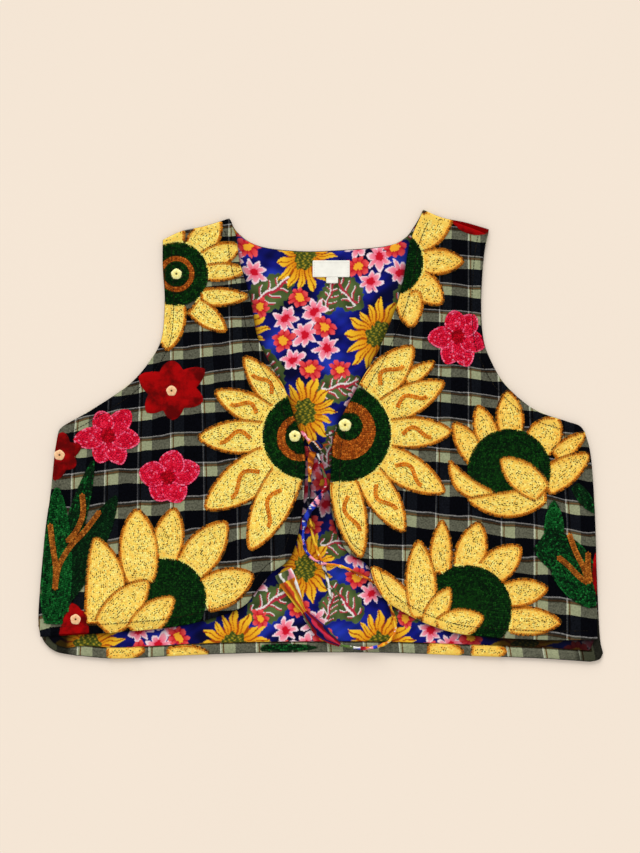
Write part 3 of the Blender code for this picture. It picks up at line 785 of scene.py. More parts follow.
def stitched_shapes(flowers, rings, petals, pinks, stars, leaves):
    """Every shape of a front, from the lowest to what lies over the others."""
    shapes = [Shape("leaf", petal_line(leaf), leaf.tone, None) for leaf in leaves]
    for flower in flowers:
        for petal in flower.petals:
            if isinstance(petal, Ray):
                petal = ray_petal(flower, petal)
            hooked = flower.hooks and petal.length > HOOKED_LENGTH
            line = petal_line(petal, blunt=BLUNT_RAY)
            shapes.append(Shape("petal", line, flower.tone, petal if hooked else None))
    for flower in flowers:
        shapes.append(Shape("disc", circle(flower.x, flower.y, flower.radius), 0, None))
    shapes += [Shape(ring.kind, circle(ring.x, ring.y, ring.radius), 0, None) for ring in rings]
    shapes += [Shape("petal", petal_line(petal), LOOSE_TONE, None) for petal in petals]
    for pink in pinks:
        for turn, reach in pink.lobes:
            width = LOBE_WIDTH * 5.4 / (len(pink.lobes) + 0.4)
            shapes.append(Shape("pink", lobe_line(pink.x, pink.y, turn, reach, width), 0, None))
        shapes.append(Shape("heart", circle(pink.x, pink.y, 7.5, 20), 0, None))
    shapes += [Shape("star", blossom_line(star), 0, None) for star in stars]
    return shapes


def fold_rise(places, folds):
    """How far the folds lift the cloth."""
    rise = np.zeros(len(places))
    for fold in folds:
        along, across = along_and_across(places - (fold.x, fold.y), fold.turn)
        ridge = np.exp(-((along / fold.length) ** 4) - (across / fold.width) ** 2)
        rise = np.maximum(rise, fold.rise * ridge)
    return rise


def ripple(places):
    """The slight waviness of washed cotton."""
    x, y = places[:, 0], places[:, 1]
    wide = np.sin(x / 17 + 1.3 * np.sin(y / 41)) * np.sin(y / 23 + x / 90)
    fine = np.sin(x / 7.3 - y / 9.1) * np.sin(y / 6.1 + x / 31)
    return 0.22 * wide + 0.06 * fine


def cloth_top(places):
    """The height of a front's upper face, without its stitched shapes."""
    return FRONT_BOTTOM + fold_rise(places, FRONT_FOLDS) + CLOTH + 0.5 * ripple(places)


def top_at(place):
    """The same height at one place."""
    return cloth_top(np.array([(place.x, place.y)]))[0]


def pad_rise(places, shapes):
    """How far the stitched shapes lift the face of the cloth."""
    rise = np.zeros(len(places))
    for shape in shapes:
        inside = np.clip(near_depth(places, shape.line) / 1.6, 0, 1)
        rise = np.maximum(rise, PAD * inside)
    return rise


def paint(name, values, obj):
    """Gives an object's mesh a colour for each point."""
    values = np.asarray(values, float)
    if values.shape[1] == 3:
        values = np.column_stack((values, np.ones(len(values))))
    layer = obj.data.color_attributes.new(name, "FLOAT_COLOR", "POINT")
    layer.data.foreach_set("color", values.astype(np.float32).ravel())


def new_object(name, points, faces, material):
    """An object from places in millimetres. All of its faces have as many corners as the first."""
    data = bpy.data.meshes.new(name)
    points = np.asarray(points, np.float32) * MM
    faces = np.asarray(faces, np.int32)
    data.vertices.add(len(points))
    data.vertices.foreach_set("co", points.ravel())
    sides = faces.shape[1]
    data.loops.add(faces.size)
    data.loops.foreach_set("vertex_index", faces.ravel())
    data.polygons.add(len(faces))
    data.polygons.foreach_set("loop_start", np.arange(len(faces), dtype=np.int32) * sides)
    data.update(calc_edges=True)
    data.validate()
    data.materials.append(material)
    data.shade_smooth()
    made = bpy.data.objects.new(name, data)
    bpy.context.scene.collection.objects.link(made)
    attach(made, "root")
    return made


def lay_on(name, uv, obj):
    """Gives a mesh the cloth's own coordinates, from one pair for each point."""
    data = obj.data
    layer = data.uv_layers.new(name=name)
    corners = np.empty(len(data.loops), np.int32)
    data.loops.foreach_get("vertex_index", corners)
    layer.data.foreach_set("uv", uv[corners].astype(np.float32).ravel())


def shell(name, border, places, lines, lower, upper, material):
    """A closed thin wall with a round rim. Its first points are those of its upper face."""
    top, top_faces = triangles(border, lines, places)
    count = len(border)
    under, under_faces = triangles(border, [], grid_in(border, COARSE, COARSE / 2))
    high, low = upper(top), lower(under)
    ways = -inward(border)
    half = 0.5 * (high[:count] - low[:count])
    middle = 0.5 * (high[:count] + low[:count])
    points = [np.column_stack((top, high))]
    rings = [np.arange(count)]
    first = len(top)
    for turn in (45, 90, 135):
        out = math.sin(math.radians(turn))
        up = math.cos(math.radians(turn))
        place = border + ways * (half * out)[:, None]
        points.append(np.column_stack((place, middle + half * up)))
        rings.append(first + np.arange(count))
        first += count
    points.append(np.column_stack((under, low)))
    rings.append(first + np.arange(count))
    faces = [top_faces, under_faces[:, ::-1] + first]
    for above, below in zip(rings, rings[1:]):
        following, below_following = np.roll(above, -1), np.roll(below, -1)
        faces.append(np.column_stack((above, below, below_following)))
        faces.append(np.column_stack((above, below_following, following)))
    return new_object(name, np.vstack(points), np.vstack(faces), material)


def positions(obj):
    """The places of an object's points, in millimetres."""
    found = np.empty(len(obj.data.vertices) * 3, np.float32)
    obj.data.vertices.foreach_get("co", found)
    return found.reshape(-1, 3).astype(float) / MM


def check_places(places, wefts, warp):
    """Where each place lies in the repeat of the check: across, and down."""
    columns, lines = wefts
    heights = np.array(lines)
    x = np.clip(places[:, 0], min(columns) - CHECK_PAST, max(columns) + CHECK_PAST)
    outer, middle, inner = heights.T
    slope_a = (middle - outer) / (columns[1] - columns[0])
    slope_b = (inner - middle) / (columns[2] - columns[1])
    offset = x[:, None] - columns[1]
    soft = 0.5 * (offset + np.sqrt(offset**2 + CHECK_BEND**2))
    at = middle + offset * slope_a + (soft - CHECK_BEND / 2) * (slope_b - slope_a)
    gap = at[:, :-1] - at[:, 1:]
    raw = (at[:, :-1] - places[:, 1:2]) / gap
    down = np.clip(raw, 0, 1).sum(axis=1)
    down += np.minimum(raw[:, 0], 0) + np.maximum(raw[:, -1] - 1, 0)
    x, y = places.T
    down += 0.032 * np.sin(x / 8.5 + y / 19) * np.sin(x / 31 + y / 23) + 0.006 * np.sin(x / 3.1 + y / 5)
    pitch = np.interp(places[:, 1], warp.heights, warp.pitches)
    across = (places[:, 0] - warp.line) / pitch
    return np.column_stack((across, down))


class Nodes:
    """Short ways to build a material."""

    def __init__(self, name):
        self.material = bpy.data.materials.new(name)
        self.material.use_nodes = True
        self.tree = self.material.node_tree
        self.shader = self.tree.nodes["Principled BSDF"]

    def add(self, kind, settings=(), inputs=()):
        node = self.tree.nodes.new(kind)
        for key, value in dict(settings).items():
            setattr(node, key, value)
        for key, value in dict(inputs).items():
            self.put(node.inputs[key], value)
        return node

    def put(self, socket, value):
        if isinstance(value, bpy.types.NodeSocket):
            self.tree.links.new(value, socket)
        else:
            socket.default_value = value

    def math(self, operation, *values):
        node = self.add("ShaderNodeMath", {"operation": operation})
        for socket, value in zip(node.inputs, values):
            self.put(socket, value)
        return node.outputs[0]

    def blend(self, kind, share, first, second):
        node = self.add("ShaderNodeMix", {"data_type": "RGBA", "blend_type": kind})
        self.put(node.inputs[0], share)
        self.put(node.inputs[6], first)
        self.put(node.inputs[7], second)
        return node.outputs[2]

    def dim(self, colour, share):
        """A colour times a number that differs from place to place."""
        shade = self.add("ShaderNodeCombineColor", inputs={0: share, 1: share, 2: share}).outputs[0]
        return self.blend("MULTIPLY", 1.0, colour, shade)

    def ramp(self, share, stops, interpolation="CONSTANT"):
        node = self.add("ShaderNodeValToRGB", inputs={"Fac": share})
        node.color_ramp.interpolation = interpolation
        elements = node.color_ramp.elements
        while len(elements) < len(stops):
            elements.new(0.5)
        for element, (position, colour) in zip(elements, stops):
            element.position = position
            element.color = (*colour, 1.0)
        return node.outputs[0]

    def noise(self, scale, detail=2.0, rough=0.5):
        where = self.add("ShaderNodeTexCoord").outputs["Object"]
        inputs = {"Vector": where, "Scale": scale, "Detail": detail, "Roughness": rough}
        return self.add("ShaderNodeTexNoise", inputs=inputs).outputs[0]

    def bump(self, height, strength, distance):
        inputs = {"Height": height, "Strength": strength, "Distance": distance}
        return self.add("ShaderNodeBump", inputs=inputs).outputs[0]

    def finish(self, colour, roughness, normal=None, sheen=0.0, *, specular):
        self.put(self.shader.inputs["Base Color"], colour)
        self.shader.inputs["Roughness"].default_value = roughness
        self.shader.inputs["Sheen Weight"].default_value = sheen
        self.shader.inputs["Specular IOR Level"].default_value = specular
        if normal is not None:
            self.put(self.shader.inputs["Normal"], normal)
        return self.material


def check_material(name):
    """Checked cotton: black, sage and grey, with thin white and brown lines."""
    n = Nodes(name)
    uv = n.add("ShaderNodeUVMap", {"uv_map": "cloth"}).outputs[0]
    split = n.add("ShaderNodeSeparateXYZ", inputs={"Vector": uv}).outputs
    speckle = n.noise(1300, 1.0)
    jitter = n.math("MULTIPLY", n.math("SUBTRACT", speckle, 0.5), 0.035)
    across = n.math("FRACT", n.math("ADD", split[0], jitter))
    down = n.math("FRACT", n.math("ADD", split[1], jitter))
    sage, black_warp, black_weft = (1, 1, 1), (0.34, 0.32, 0.38), (0.016, 0.018, 0.044)
    brown, dim, faint = (0.42, 0.2, 0.12), (0.2, 0.18, 0.2), (0.3, 0.28, 0.24)
    warp = n.ramp(across, ((0, sage), (0.075, brown), (0.115, sage), (WARP_DARK, black_warp)))
    stops = ((0, dim), (0.085, brown), (0.125, faint), (0.15, sage), (WEFT_DARK, black_weft))
    weft = n.ramp(down, stops)
    base = n.blend("MULTIPLY", 1.0, (*linear((148, 152, 118)), 1.0), warp)
    base = n.blend("MULTIPLY", 1.0, base, weft)
    on_sage = n.math("MULTIPLY_ADD", n.math("LESS_THAN", down, WEFT_DARK), 0.16, 0.035)
    white_warp = n.math("MULTIPLY", n.math("LESS_THAN", across, WARP_WHITE), on_sage)
    white_weft = n.math("MULTIPLY", n.math("LESS_THAN", down, WEFT_WHITE), 0.16)
    base = n.blend("ADD", n.math("ADD", white_warp, white_weft), base, (1.0, 0.97, 0.95, 1.0))
    dark_warp = n.math("GREATER_THAN", across, WARP_DARK)
    patchy = n.math("MAXIMUM", dark_warp, n.math("GREATER_THAN", down, WEFT_DARK))
    contrast = n.math("MULTIPLY_ADD", patchy, 1.0, 0.8)
    grain = n.math("MULTIPLY_ADD", n.math("SUBTRACT", n.noise(620, 1.0), 0.5), contrast, 1.0)
    ground = n.add("ShaderNodeVertexColor", {"layer_name": "ground"}).outputs
    cloth = n.blend("MIX", ground["Alpha"], n.dim(base, grain), ground["Color"])
    normal = n.bump(n.noise(2200, 1.0), 0.35, 0.0004)
    return n.finish(cloth, 0.95, normal, specular=0.02)


def thread_material():
    """Cotton thread: each stitch has its own colour, with fine fibres."""
    n = Nodes("thread")
    colour = n.add("ShaderNodeVertexColor", {"layer_name": "thread"}).outputs["Color"]
    fibre = n.math("MULTIPLY_ADD", n.noise(1500, 2.0), 0.5, 0.78)
    normal = n.bump(n.noise(3000, 1.0), 0.4, 0.0003)
    return n.finish(n.dim(colour, fibre), 0.85, normal, sheen=0.03, specular=0.08)


def print_material(name):
    """Printed cotton: its flowers, with any painted shade or painted glints, are colours of the mesh's own
    points.
    """
    n = Nodes(name)
    colour = n.add("ShaderNodeVertexColor", {"layer_name": "print"}).outputs["Color"]
    weave = n.math("MULTIPLY_ADD", n.noise(1800, 1.0), 0.5, 0.75)
    normal = n.bump(n.noise(2500, 1.0), 0.3, 0.0003)
    return n.finish(n.dim(colour, weave), 0.9, normal, specular=0.08)


def felt_material():
    """Dark red felt, mottled and matted."""
    n = Nodes("felt")
    mottle = n.noise(60, 3.0, 0.6)
    dark, bright = linear((92, 0, 0)), linear((164, 1, 3))
    colour = n.ramp(mottle, ((0.32, dark), (0.62, bright)), "EASE")
    normal = n.bump(n.noise(900, 4.0, 0.7), 0.6, 0.0006)
    return n.finish(colour, 0.95, normal, sheen=0.05, specular=0.05)


def label_material():
    """Plain white weave, slightly uneven."""
    n = Nodes("label_weave")
    white = linear(LABEL_WHITE)
    colour = n.ramp(n.noise(120), ((0.3, white * 0.88), (0.7, white)), "LINEAR")
    normal = n.bump(n.noise(2500), 0.3, 0.0003)
    return n.finish(colour, 0.9, normal, specular=0.05)


# One chain stitch: two plump legs which start together and part. Sizes here are shares of a stitch's
# length, width and height.
LEG_POINTS = np.array((
    (-0.52, 0.02, 0.10),
    (-0.16, -0.10, 0.05), (-0.20, 0.13, 1.0), (-0.22, 0.36, 0.05),
    (0.24, 0.02, 0.05), (0.22, 0.27, 0.9), (0.20, 0.50, 0.05),
    (0.56, 0.22, 0.0),
))
LEG_FACES = np.array((
    (0, 2, 1), (0, 3, 2), (1, 2, 5), (1, 5, 4), (2, 3, 6), (2, 6, 5), (4, 5, 7), (5, 6, 7),
))
CHAIN_POINTS = np.vstack((LEG_POINTS, LEG_POINTS * (1, -1, 1)))
CHAIN_FACES = np.vstack((LEG_FACES, LEG_FACES[:, ::-1] + len(LEG_POINTS)))
# One plain stitch: a plump grain.
GRAIN_POINTS = np.array((
    (-0.5, 0, 0.1),
    (-0.2, -0.5, 0.0), (-0.2, 0, 1.0), (-0.2, 0.5, 0.0),
    (0.2, -0.5, 0.0), (0.2, 0, 1.0), (0.2, 0.5, 0.0),
    (0.5, 0, 0.1),
))
GRAIN_FACES = LEG_FACES
# A gap between two stitches, where dark thread shows.
SPECK_POINTS = np.array(((-0.5, 0, 0), (0, -0.5, 0), (0.5, 0, 0), (0, 0.5, 0), (0, 0, 1)))
SPECK_FACES = np.array(((0, 1, 4), (1, 2, 4), (2, 3, 4), (3, 0, 4)))


class Stitches:
    """Collects stitches, then lays them as one mesh."""

    def __init__(self, points=CHAIN_POINTS, faces=CHAIN_FACES):
        self.points = points
        self.faces = faces
        self.rows = []

    def add(self, places, ways, levels, size, colours):
        count = len(places)
        if not count:
            return
        sizes = np.column_stack([np.broadcast_to(value, count) for value in size])
        self.rows.append(np.column_stack((places, ways, levels, sizes, colours)))

    def lay(self, name, material):
        rows = np.vstack(self.rows)
        place, way, level = rows[:, 0:2], rows[:, 2:4], rows[:, 4]
        length, width, height = rows[:, 5], rows[:, 6], rows[:, 7]
        side = left_of(way)
        along, across, up = self.points.T
        flat = place[:, None, :] + along[None, :, None] * (length[:, None] * way)[:, None, :]
        flat = flat + across[None, :, None] * (width[:, None] * side)[:, None, :]
        z = level[:, None] + up[None, :] * height[:, None]
        points = np.concatenate((flat, z[:, :, None]), axis=2).reshape(-1, 3)
        first = np.arange(len(rows)) * len(self.points)
        faces = (self.faces[None, :, :] + first[:, None, None]).reshape(-1, 3)
        made = new_object(name, points, faces, material)
        paint("thread", np.repeat(rows[:, 8:11], len(self.points), axis=0), made)
        return made


def thread_colours(kind, count, spread=0.06):
    """A colour for each stitch, from the threads of a kind."""
    choices = linear(THREADS[kind])
    weights = (0.5, 0.3, 0.2)
    picked = choices[chance.choice(len(choices), count, p=weights)]
    return picked * (1 + spread * chance.standard_normal((count, 1)))


def along_line(line, step):
    """The middles of even stretches of an open line, with their directions."""
    lengths = run_lengths(line)
    count = max(1, round(lengths[-1] / step))
    at = (np.arange(count) + 0.5) * lengths[-1] / count
    ahead = places_at(at + 0.35 * step, lengths, line)
    behind = places_at(at - 0.35 * step, lengths, line)
    return places_at(at, lengths, line), unit(ahead - behind)


def rows_inside(line, first, pitch, step, most=99):
    """Stitch places and directions in rows that follow a closed line inwards, and each one's row."""
    fine = even(line, 0.9)
    if signed_area(fine) < 0:
        fine = fine[::-1].copy()
    ways = inward(fine)
    found = []
    for row in range(most):
        reach = first + row * pitch
        moved = fine + ways * reach
        kept = depth(moved, fine) > 0.96 * reach - 0.02
        if not kept.any():
            break
        start = 0 if kept.all() else int(np.argmin(kept))
        order = np.roll(np.arange(len(fine)), -start)
        run = []
        for index in [*order, order[0] if kept.all() else -1]:
            if index >= 0 and kept[index]:
                run.append(moved[index])
                continue
            if len(run) > 2:
                found.append((row, *along_line(np.array(run), step)))
            run = []
        if len(run) > 2:
            found.append((row, *along_line(np.array(run), step)))
    if not found:
        return np.empty((0, 2)), np.empty((0, 2)), np.empty(0, int)
    places = np.vstack([item[1] for item in found])
    directions = np.vstack([item[2] for item in found])
    numbers = np.concatenate([np.full(len(item[1]), item[0]) for item in found])
    return places, directions, numbers


def uncovered(places, shapes, border, edge, over):
    """True where a place is on the cloth and under none of the shapes."""
    kept = depth(places, border) > edge
    for shape in shapes:
        kept &= near_depth(places, shape.line) < over
    return kept


def hook_line(petal):
    """A curled line along a petal: a long S that starts near the base and ends in a foot."""
    share = np.linspace(0, 1, 30)
    way, side = axes(petal.turn)
    hand = 1 if HOOK_TURNS[0] < petal.turn < HOOK_TURNS[1] else -1
    reach = petal.length * (HOOK_START + (HOOK_END - HOOK_START) * share)
    sway = hand * petal.width * HOOK_SWING * np.sin(share * math.tau * 0.85 - 0.35)
    return np.array((petal.x, petal.y)) + reach[:, None] * way + sway[:, None] * side


# How each kind of shape is filled: its first row's depth, and its stitches' pitch, step and width.
Fill = namedtuple("Fill", "first pitch step width")
FILLS = {"petal": Fill(3.6, 2.0, 2.5, 2.2), "pink": Fill(0.9, 2.0, 2.5, 2.0)}
DISC_FILL = Fill(0.9, 1.75, 2.4, 1.95)
EDGE_FILL = Fill(0.45, 1.55, 2.5, 1.95)
EDGE_ROWS = 2
# Single lines of stitches: how far apart they start, how far their strands lie to the side, and their size.
Chain = namedtuple("Chain", "step shifts size")
HOOK_CHAIN = Chain(2.4, (-1.1, 1.1), (2.8, 2.5, 0.9))
STEM_CHAIN = Chain(2.5, (-1.9, 0, 1.9), (2.9, 2.3, 0.8))
SEAM_CHAIN = Chain(3.0, (STITCH_LINE, -STITCH_LINE), (2.8, 0.75, 0.3))
# How many of the stitches have dark thread beside them, how much it leans, its length and its other sizes.
SPECK_CHANCE = 0.38
SPECK_LEAN = 0.7
SPECK_LENGTHS = (1.4, 3.0)
SPECK_SIZE = (1.0, 0.12)


def side_line(line, shift):
    """An open line moved to its left."""
    return line + shift * left_of(unit(np.gradient(line, axis=0)))


def fill_colours(kind, rows, tone):
    """A colour for each stitch that fills a shape. A petal is more golden near its edge."""
    count = len(rows)
    if kind == "petal":
        mix = np.clip(1 - rows / 2.5, 0, 1) * (0.45 + 0.3 * tone) + 0.75 * tone
        mix = np.clip(mix + 0.2 * chance.standard_normal(count), 0, 1)[:, None]
        return thread_colours("pale", count) * (1 - mix) + thread_colours("gold", count) * mix
    if kind == "pink":
        loop = chance.random(count) < np.where(rows == 0, 0.75, 0.14)
        return np.where(loop[:, None], thread_colours("loop", count), thread_colours("pink", count))
    if kind == "leaf":
        bright = chance.random(count) < tone
        return np.where(bright[:, None], thread_colours("leaf", count), thread_colours("shade", count))
    return thread_colours(kind, count, 0.15)


def add_specks(specks, places, ways, levels):
    """Dark thread that shows beside some of the stitches."""
    chosen = chance.random(len(places)) < SPECK_CHANCE
    places, ways, levels = places[chosen], ways[chosen], levels[chosen]
    side = left_of(ways)
    places = places + side + 0.7 * chance.uniform(-1, 1, (len(places), 1)) * ways
    lean = chance.normal(0, SPECK_LEAN, (len(places), 1))
    length = chance.uniform(*SPECK_LENGTHS, len(places))
    colours = thread_colours("dark", len(places), 0.2)
    specks.add(places, unit(ways + lean * side), levels, (length, *SPECK_SIZE), colours)


def edge_colours(places, ways, rows, over):
    """Thread for a petal's edge, and where it is pale because it runs round a flower's centre."""
    outer = rows[:, None] == 0
    colours = np.where(outer, thread_colours("edge", len(rows)), thread_colours("rope", len(rows)))
    pale = np.zeros(len(rows), bool)
    for other in over:
        if other.kind == "disc":
            outwards = unit(places - other.line.mean(axis=0))
            runs_round = np.abs((outwards * ways).sum(axis=1)) < OUTWARD_SHARE
            pale |= runs_round & (near_depth(places, other.line) > -BARE_BASE)
    colours[pale] = thread_colours("pale", int(pale.sum()))
    return colours, pale


def embroider(name, border, shapes, top, material, flat=1.0, hole=None):
    """Every stitched shape of one piece of cloth, as chain stitch. None lies inside the hole."""
    fill = Stitches()
    fine = Stitches()
    specks = Stitches(SPECK_POINTS, SPECK_FACES)

    def kept_of(found, over, edge=STITCH_EDGE, reach=0.2):
        places, ways, rows = found
        kept = uncovered(places, over, border, edge, reach)
        if hole is not None:
            kept &= depth(places, hole) < -edge
        return places[kept], ways[kept], rows[kept]

    for index, shape in enumerate(shapes):
        if shape.kind in ("star", "button"):
            continue
        over = shapes[index + 1 :]
        is_petal = shape.kind == "petal"
        plan = FILLS.get(shape.kind, DISC_FILL)
        places, ways, rows = kept_of(rows_inside(shape.line, *plan[:3]), over)
        jitter = 0.12 * chance.standard_normal(places.shape)
        level = top(places) + (PAD - 0.1) * flat
        colours = fill_colours(shape.kind, rows, shape.tone)
        high = 0.42 if is_petal else 0.6
        target = fill if is_petal else fine
        target.add(places + jitter, ways, level, (plan.step * 1.2, plan.width, high * flat), colours)
        if is_petal:
            add_specks(specks, places, ways, level + (high - 0.06) * flat)
            edge_rows = rows_inside(shape.line, *EDGE_FILL[:3], EDGE_ROWS)
            places, ways, rows = kept_of(edge_rows, over, 0.9, 0.9)
            colours, pale = edge_colours(places, ways, rows, over)
            high = np.where(pale, 0.9, 1.15) * flat
            fill.add(places, ways, top(places) + 0.15 * flat, (2.9, EDGE_FILL.width, high), colours)
        if shape.petal is not None:
            line = hook_line(shape.petal)
            for shift in HOOK_CHAIN.shifts:
                places, ways = along_line(side_line(line, shift), HOOK_CHAIN.step)
                places, ways, _ = kept_of((places, ways, np.zeros(len(places))), over)
                colours = thread_colours("hook", len(places), 0.08)
                fill.add(places, ways, top(places) + PAD + 0.2, HOOK_CHAIN.size, colours)
    made = [fill.lay(f"{name}_petals", material)]
    if specks.rows:
        made.append(specks.lay(f"{name}_specks", material))
    if fine.rows:
        made.append(fine.lay(f"{name}_discs", material))
    return made


def stems(name, lines, border, material):
    """Brown chain stitch over the leaves."""
    chains = Stitches()
    for line in lines:
        middle = line_through(line, 1.5)
        for shift in STEM_CHAIN.shifts:
            strand = side_line(middle, shift)
            if shift:
                # The outer strands are shorter, which rounds the ends.
                strand = strand[1:-1]
            places, ways = along_line(strand, STEM_CHAIN.step)
            kept = depth(places, border) > STITCH_EDGE
            places, ways = places[kept], ways[kept]
            colours = thread_colours("stem", len(places), 0.1)
            chains.add(places, ways, cloth_top(places) + PAD + 0.35, STEM_CHAIN.size, colours)
    return chains.lay(name, material)


def ground_colours(places, shapes):
    """The colour under the stitches of each shape, with how much of it shows."""
    colours = np.zeros((len(places), 4))
    for shape in shapes:
        inside = near_depth(places, shape.line)
        share = np.clip(inside / 0.8, 0, 1)[:, None]
        colour = np.append(linear(GROUNDS[shape.kind]), 1.0)
        colours = colours * (1 - share) + colour * share
    alpha = np.maximum(colours[:, 3:], 1e-6)
    return np.column_stack((colours[:, :3] / alpha, colours[:, 3]))


def stud(name, x, y, radius, level, height, shades, material):
    """A small round of thread, domed, with a dark dimple. The shades are those of its rim and middle."""
    rings, sides = 8, 24
    turn = round_turns(sides)
    points = [(x, y, level + 0.4 * height)]
    colours = [linear(THREADS["dark"][1])]
    for ring in range(1, rings + 1):
        share = ring / rings
        rise = height * (math.sqrt(max(0.0, 1 - share**3)) - 0.5 * math.exp(-((share / 0.22) ** 2)))
        reach = radius * share * (1 + 0.04 * np.sin(5 * turn))
        points += list(zip(x + reach * np.cos(turn), y + reach * np.sin(turn), np.full(sides, level + rise)))
        mix = np.clip(0.5 + 0.5 * np.sin(turn * 6 + share * 4) * 0.6 + (share - 0.6), 0, 1)[:, None]
        shade = linear(shades[0]) * mix + linear(shades[1]) * (1 - mix)
        colours += list(shade if share > 0.2 else np.tile(linear(THREADS["dark"][0]), (sides, 1)))
    faces = [(0, 1 + side, 1 + (side + 1) % sides) for side in range(sides)]
    for ring in range(rings - 1):
        first, second = 1 + ring * sides, 1 + (ring + 1) * sides
        for side in range(sides):
            after = (side + 1) % sides
            faces.append((first + side, second + side, second + after))
            faces.append((first + side, second + after, first + after))
    made = new_object(name, np.array(points), np.array(faces), material)
    paint("thread", np.array(colours), made)
    return made


def felt_star(name, star, border, material):
    """A star flower of felt, softly domed, cut where the cloth ends."""
    line = blossom_line(star)
    fine = even(line, 1.4)
    fine = fine[depth(fine, border) > 0.5]
    places = grid_in(line, 1.6, 0.8)
    places = places[depth(places, border) > 0.5]
    points, faces = triangles(fine, [], places)
    inside = np.maximum(near_depth(points, line), 0)
    level = cloth_top(points) + 0.2 + 1.0 * np.clip(inside / 3.2, 0, 1) ** 0.5
    turn = np.arctan2(points[:, 1] - star.y, points[:, 0] - star.x)
    level += 0.25 * np.abs(np.sin(turn * len(star.lobes) / 2)) * np.clip(inside / 6, 0, 1)
    return new_object(name, np.column_stack((points, level)), faces, material)


def front(name, runs, wefts, warp, shapes):
    """One front, with its outline, its area and its size in metres."""
    line, _ = outline(runs, OUTLINE_STEP)
    border = line + inward(line) * (CLOTH / 2)
    places = grid_in(border, FINE, FINE * 0.7)

    def lower(points):
        return FRONT_BOTTOM + fold_rise(points, FRONT_FOLDS)

    def upper(points):
        inside = np.maximum(depth(points, border), 0)
        puff = 0.25 * np.exp(-(((inside - 5) / 3) ** 2))
        groove = 0.25 * np.exp(-(((inside - STITCH_LINE) / 1.6) ** 2))
        return cloth_top(points) + pad_rise(points, shapes) * np.clip(inside / 2, 0, 1) + (puff - groove)

    made = shell(name, border, places, [], lower, upper, check_material(name))
    where = positions(made)[:, :2]
    lay_on("cloth", check_places(where, wefts, warp), made)
    paint("ground", ground_colours(where, shapes), made)
    area = abs(signed_area(line)) * MM * MM
    size = (line.max(axis=0) - line.min(axis=0)) * MM
    return made, line, area, size


def topstitch(name, runs, shapes, material):
    """A line of dark stitches that follows the front and armhole edges and presses the cloth down."""
    line, _ = outline(runs, OUTLINE_STEP)
    stitches = Stitches(GRAIN_POINTS, GRAIN_FACES)
    for run in runs:
        if run.name not in ("front", "armhole"):
            continue
        edge = line_through(run.points, OUTLINE_STEP)
        # Only the side that lies on the cloth is kept.
        for shift in SEAM_CHAIN.shifts:
            moved = side_line(edge, shift)
            moved = moved[depth(moved, line) > 0.97 * STITCH_LINE]
            if len(moved) < 4:
                continue
            places, ways = along_line(moved, SEAM_CHAIN.step)
            high = pad_rise(places, shapes) / PAD
            level = cloth_top(places) + 0.05 + high * (PAD + 0.5)
            colours = thread_colours("seam", len(places))
            stitches.add(places, ways, level, SEAM_CHAIN.size, colours)
    return stitches.lay(name, material)


def inset(line, distances):
    """A closed line moved inwards, each stretch by its own distance. Folded corners are left out."""
    before = unit(line - np.roll(line, 1, axis=0))
    after = np.roll(before, -1, axis=0)
    left, right = left_of(before), left_of(after)
    near, far = np.roll(distances, 1)[:, None], distances[:, None]
    turning = (before[:, 0] * after[:, 1] - before[:, 1] * after[:, 0])[:, None]
    straight = line + unit(left + right) * 0.5 * (near + far)
    bent = np.where(np.abs(turning) < 0.05, 1.0, turning)
    along = (near * (left * right).sum(axis=1)[:, None] - far) / bent
    moved = np.where(np.abs(turning) < 0.05, straight, line + left * near + before * along)
    least = np.minimum(near, far)[:, 0]
    return moved[(least <= 0) | (depth(moved, line) > 0.95 * least)]


def lining_line(extra):
    """The lining's outline, moved in by a little more or, below 0, by less."""
    line, margins = outline(BACK_RUNS, LINING_COARSE)
    line = inset(line, margins)
    return even(inset(line, np.full(len(line), extra)), LINING_FINE)


def bloom_colours(motif, away, colours):
    """Paints one printed bloom over the colours of places that are away from its middle."""
    bloom = BLOOMS[motif.kind]
    far = np.hypot(away[:, 0], away[:, 1])
    turn = np.arctan2(away[:, 1], away[:, 0]) + math.radians(motif.turn)
    turn = turn + 0.08 * np.sin(3 * turn + motif.x)
    phase = (bloom.petals * turn / math.tau) % 1.0
    wave = 1 - np.abs(2 * phase - 1)
    size = motif.radius * (1 + 0.10 * np.sin(2 * turn + motif.y) + 0.06 * np.sin(5 * turn))
    share = far / (size * (bloom.notch + (1 - bloom.notch) * wave**bloom.sharp))
    petal = share < 1
    mix = np.clip((far / size - bloom.share) / (0.9 - bloom.share), 0, 1)[:, None]
    colour = linear(bloom.inner) * (1 - mix) + linear(bloom.outer) * mix
    between = wave < 0.24
    if motif.kind == "sunflower":
        between |= np.abs(phase - 0.56) < 0.05
    colour[between] = linear(bloom.line)
    if motif.kind == "daisy":
        colour[share > 0.84] = linear(PRINT_RIM)
    core = far < bloom.share * size * (1 + 0.10 * np.sin(9 * turn))
    colour[core] = linear(bloom.core)
    if motif.kind == "sunflower":
        seeds = np.sin(away[:, 0] * 1.1 + 2 * np.sin(away[:, 1] * 0.6)) * np.sin(away[:, 1] * 1.3)
        colour[core & (seeds > 0.5)] = linear(PRINT_SEED)
        colour[core & (seeds < -0.55)] = linear(bloom.core) * 0.4
    colours[petal] = colour[petal]
    return colours


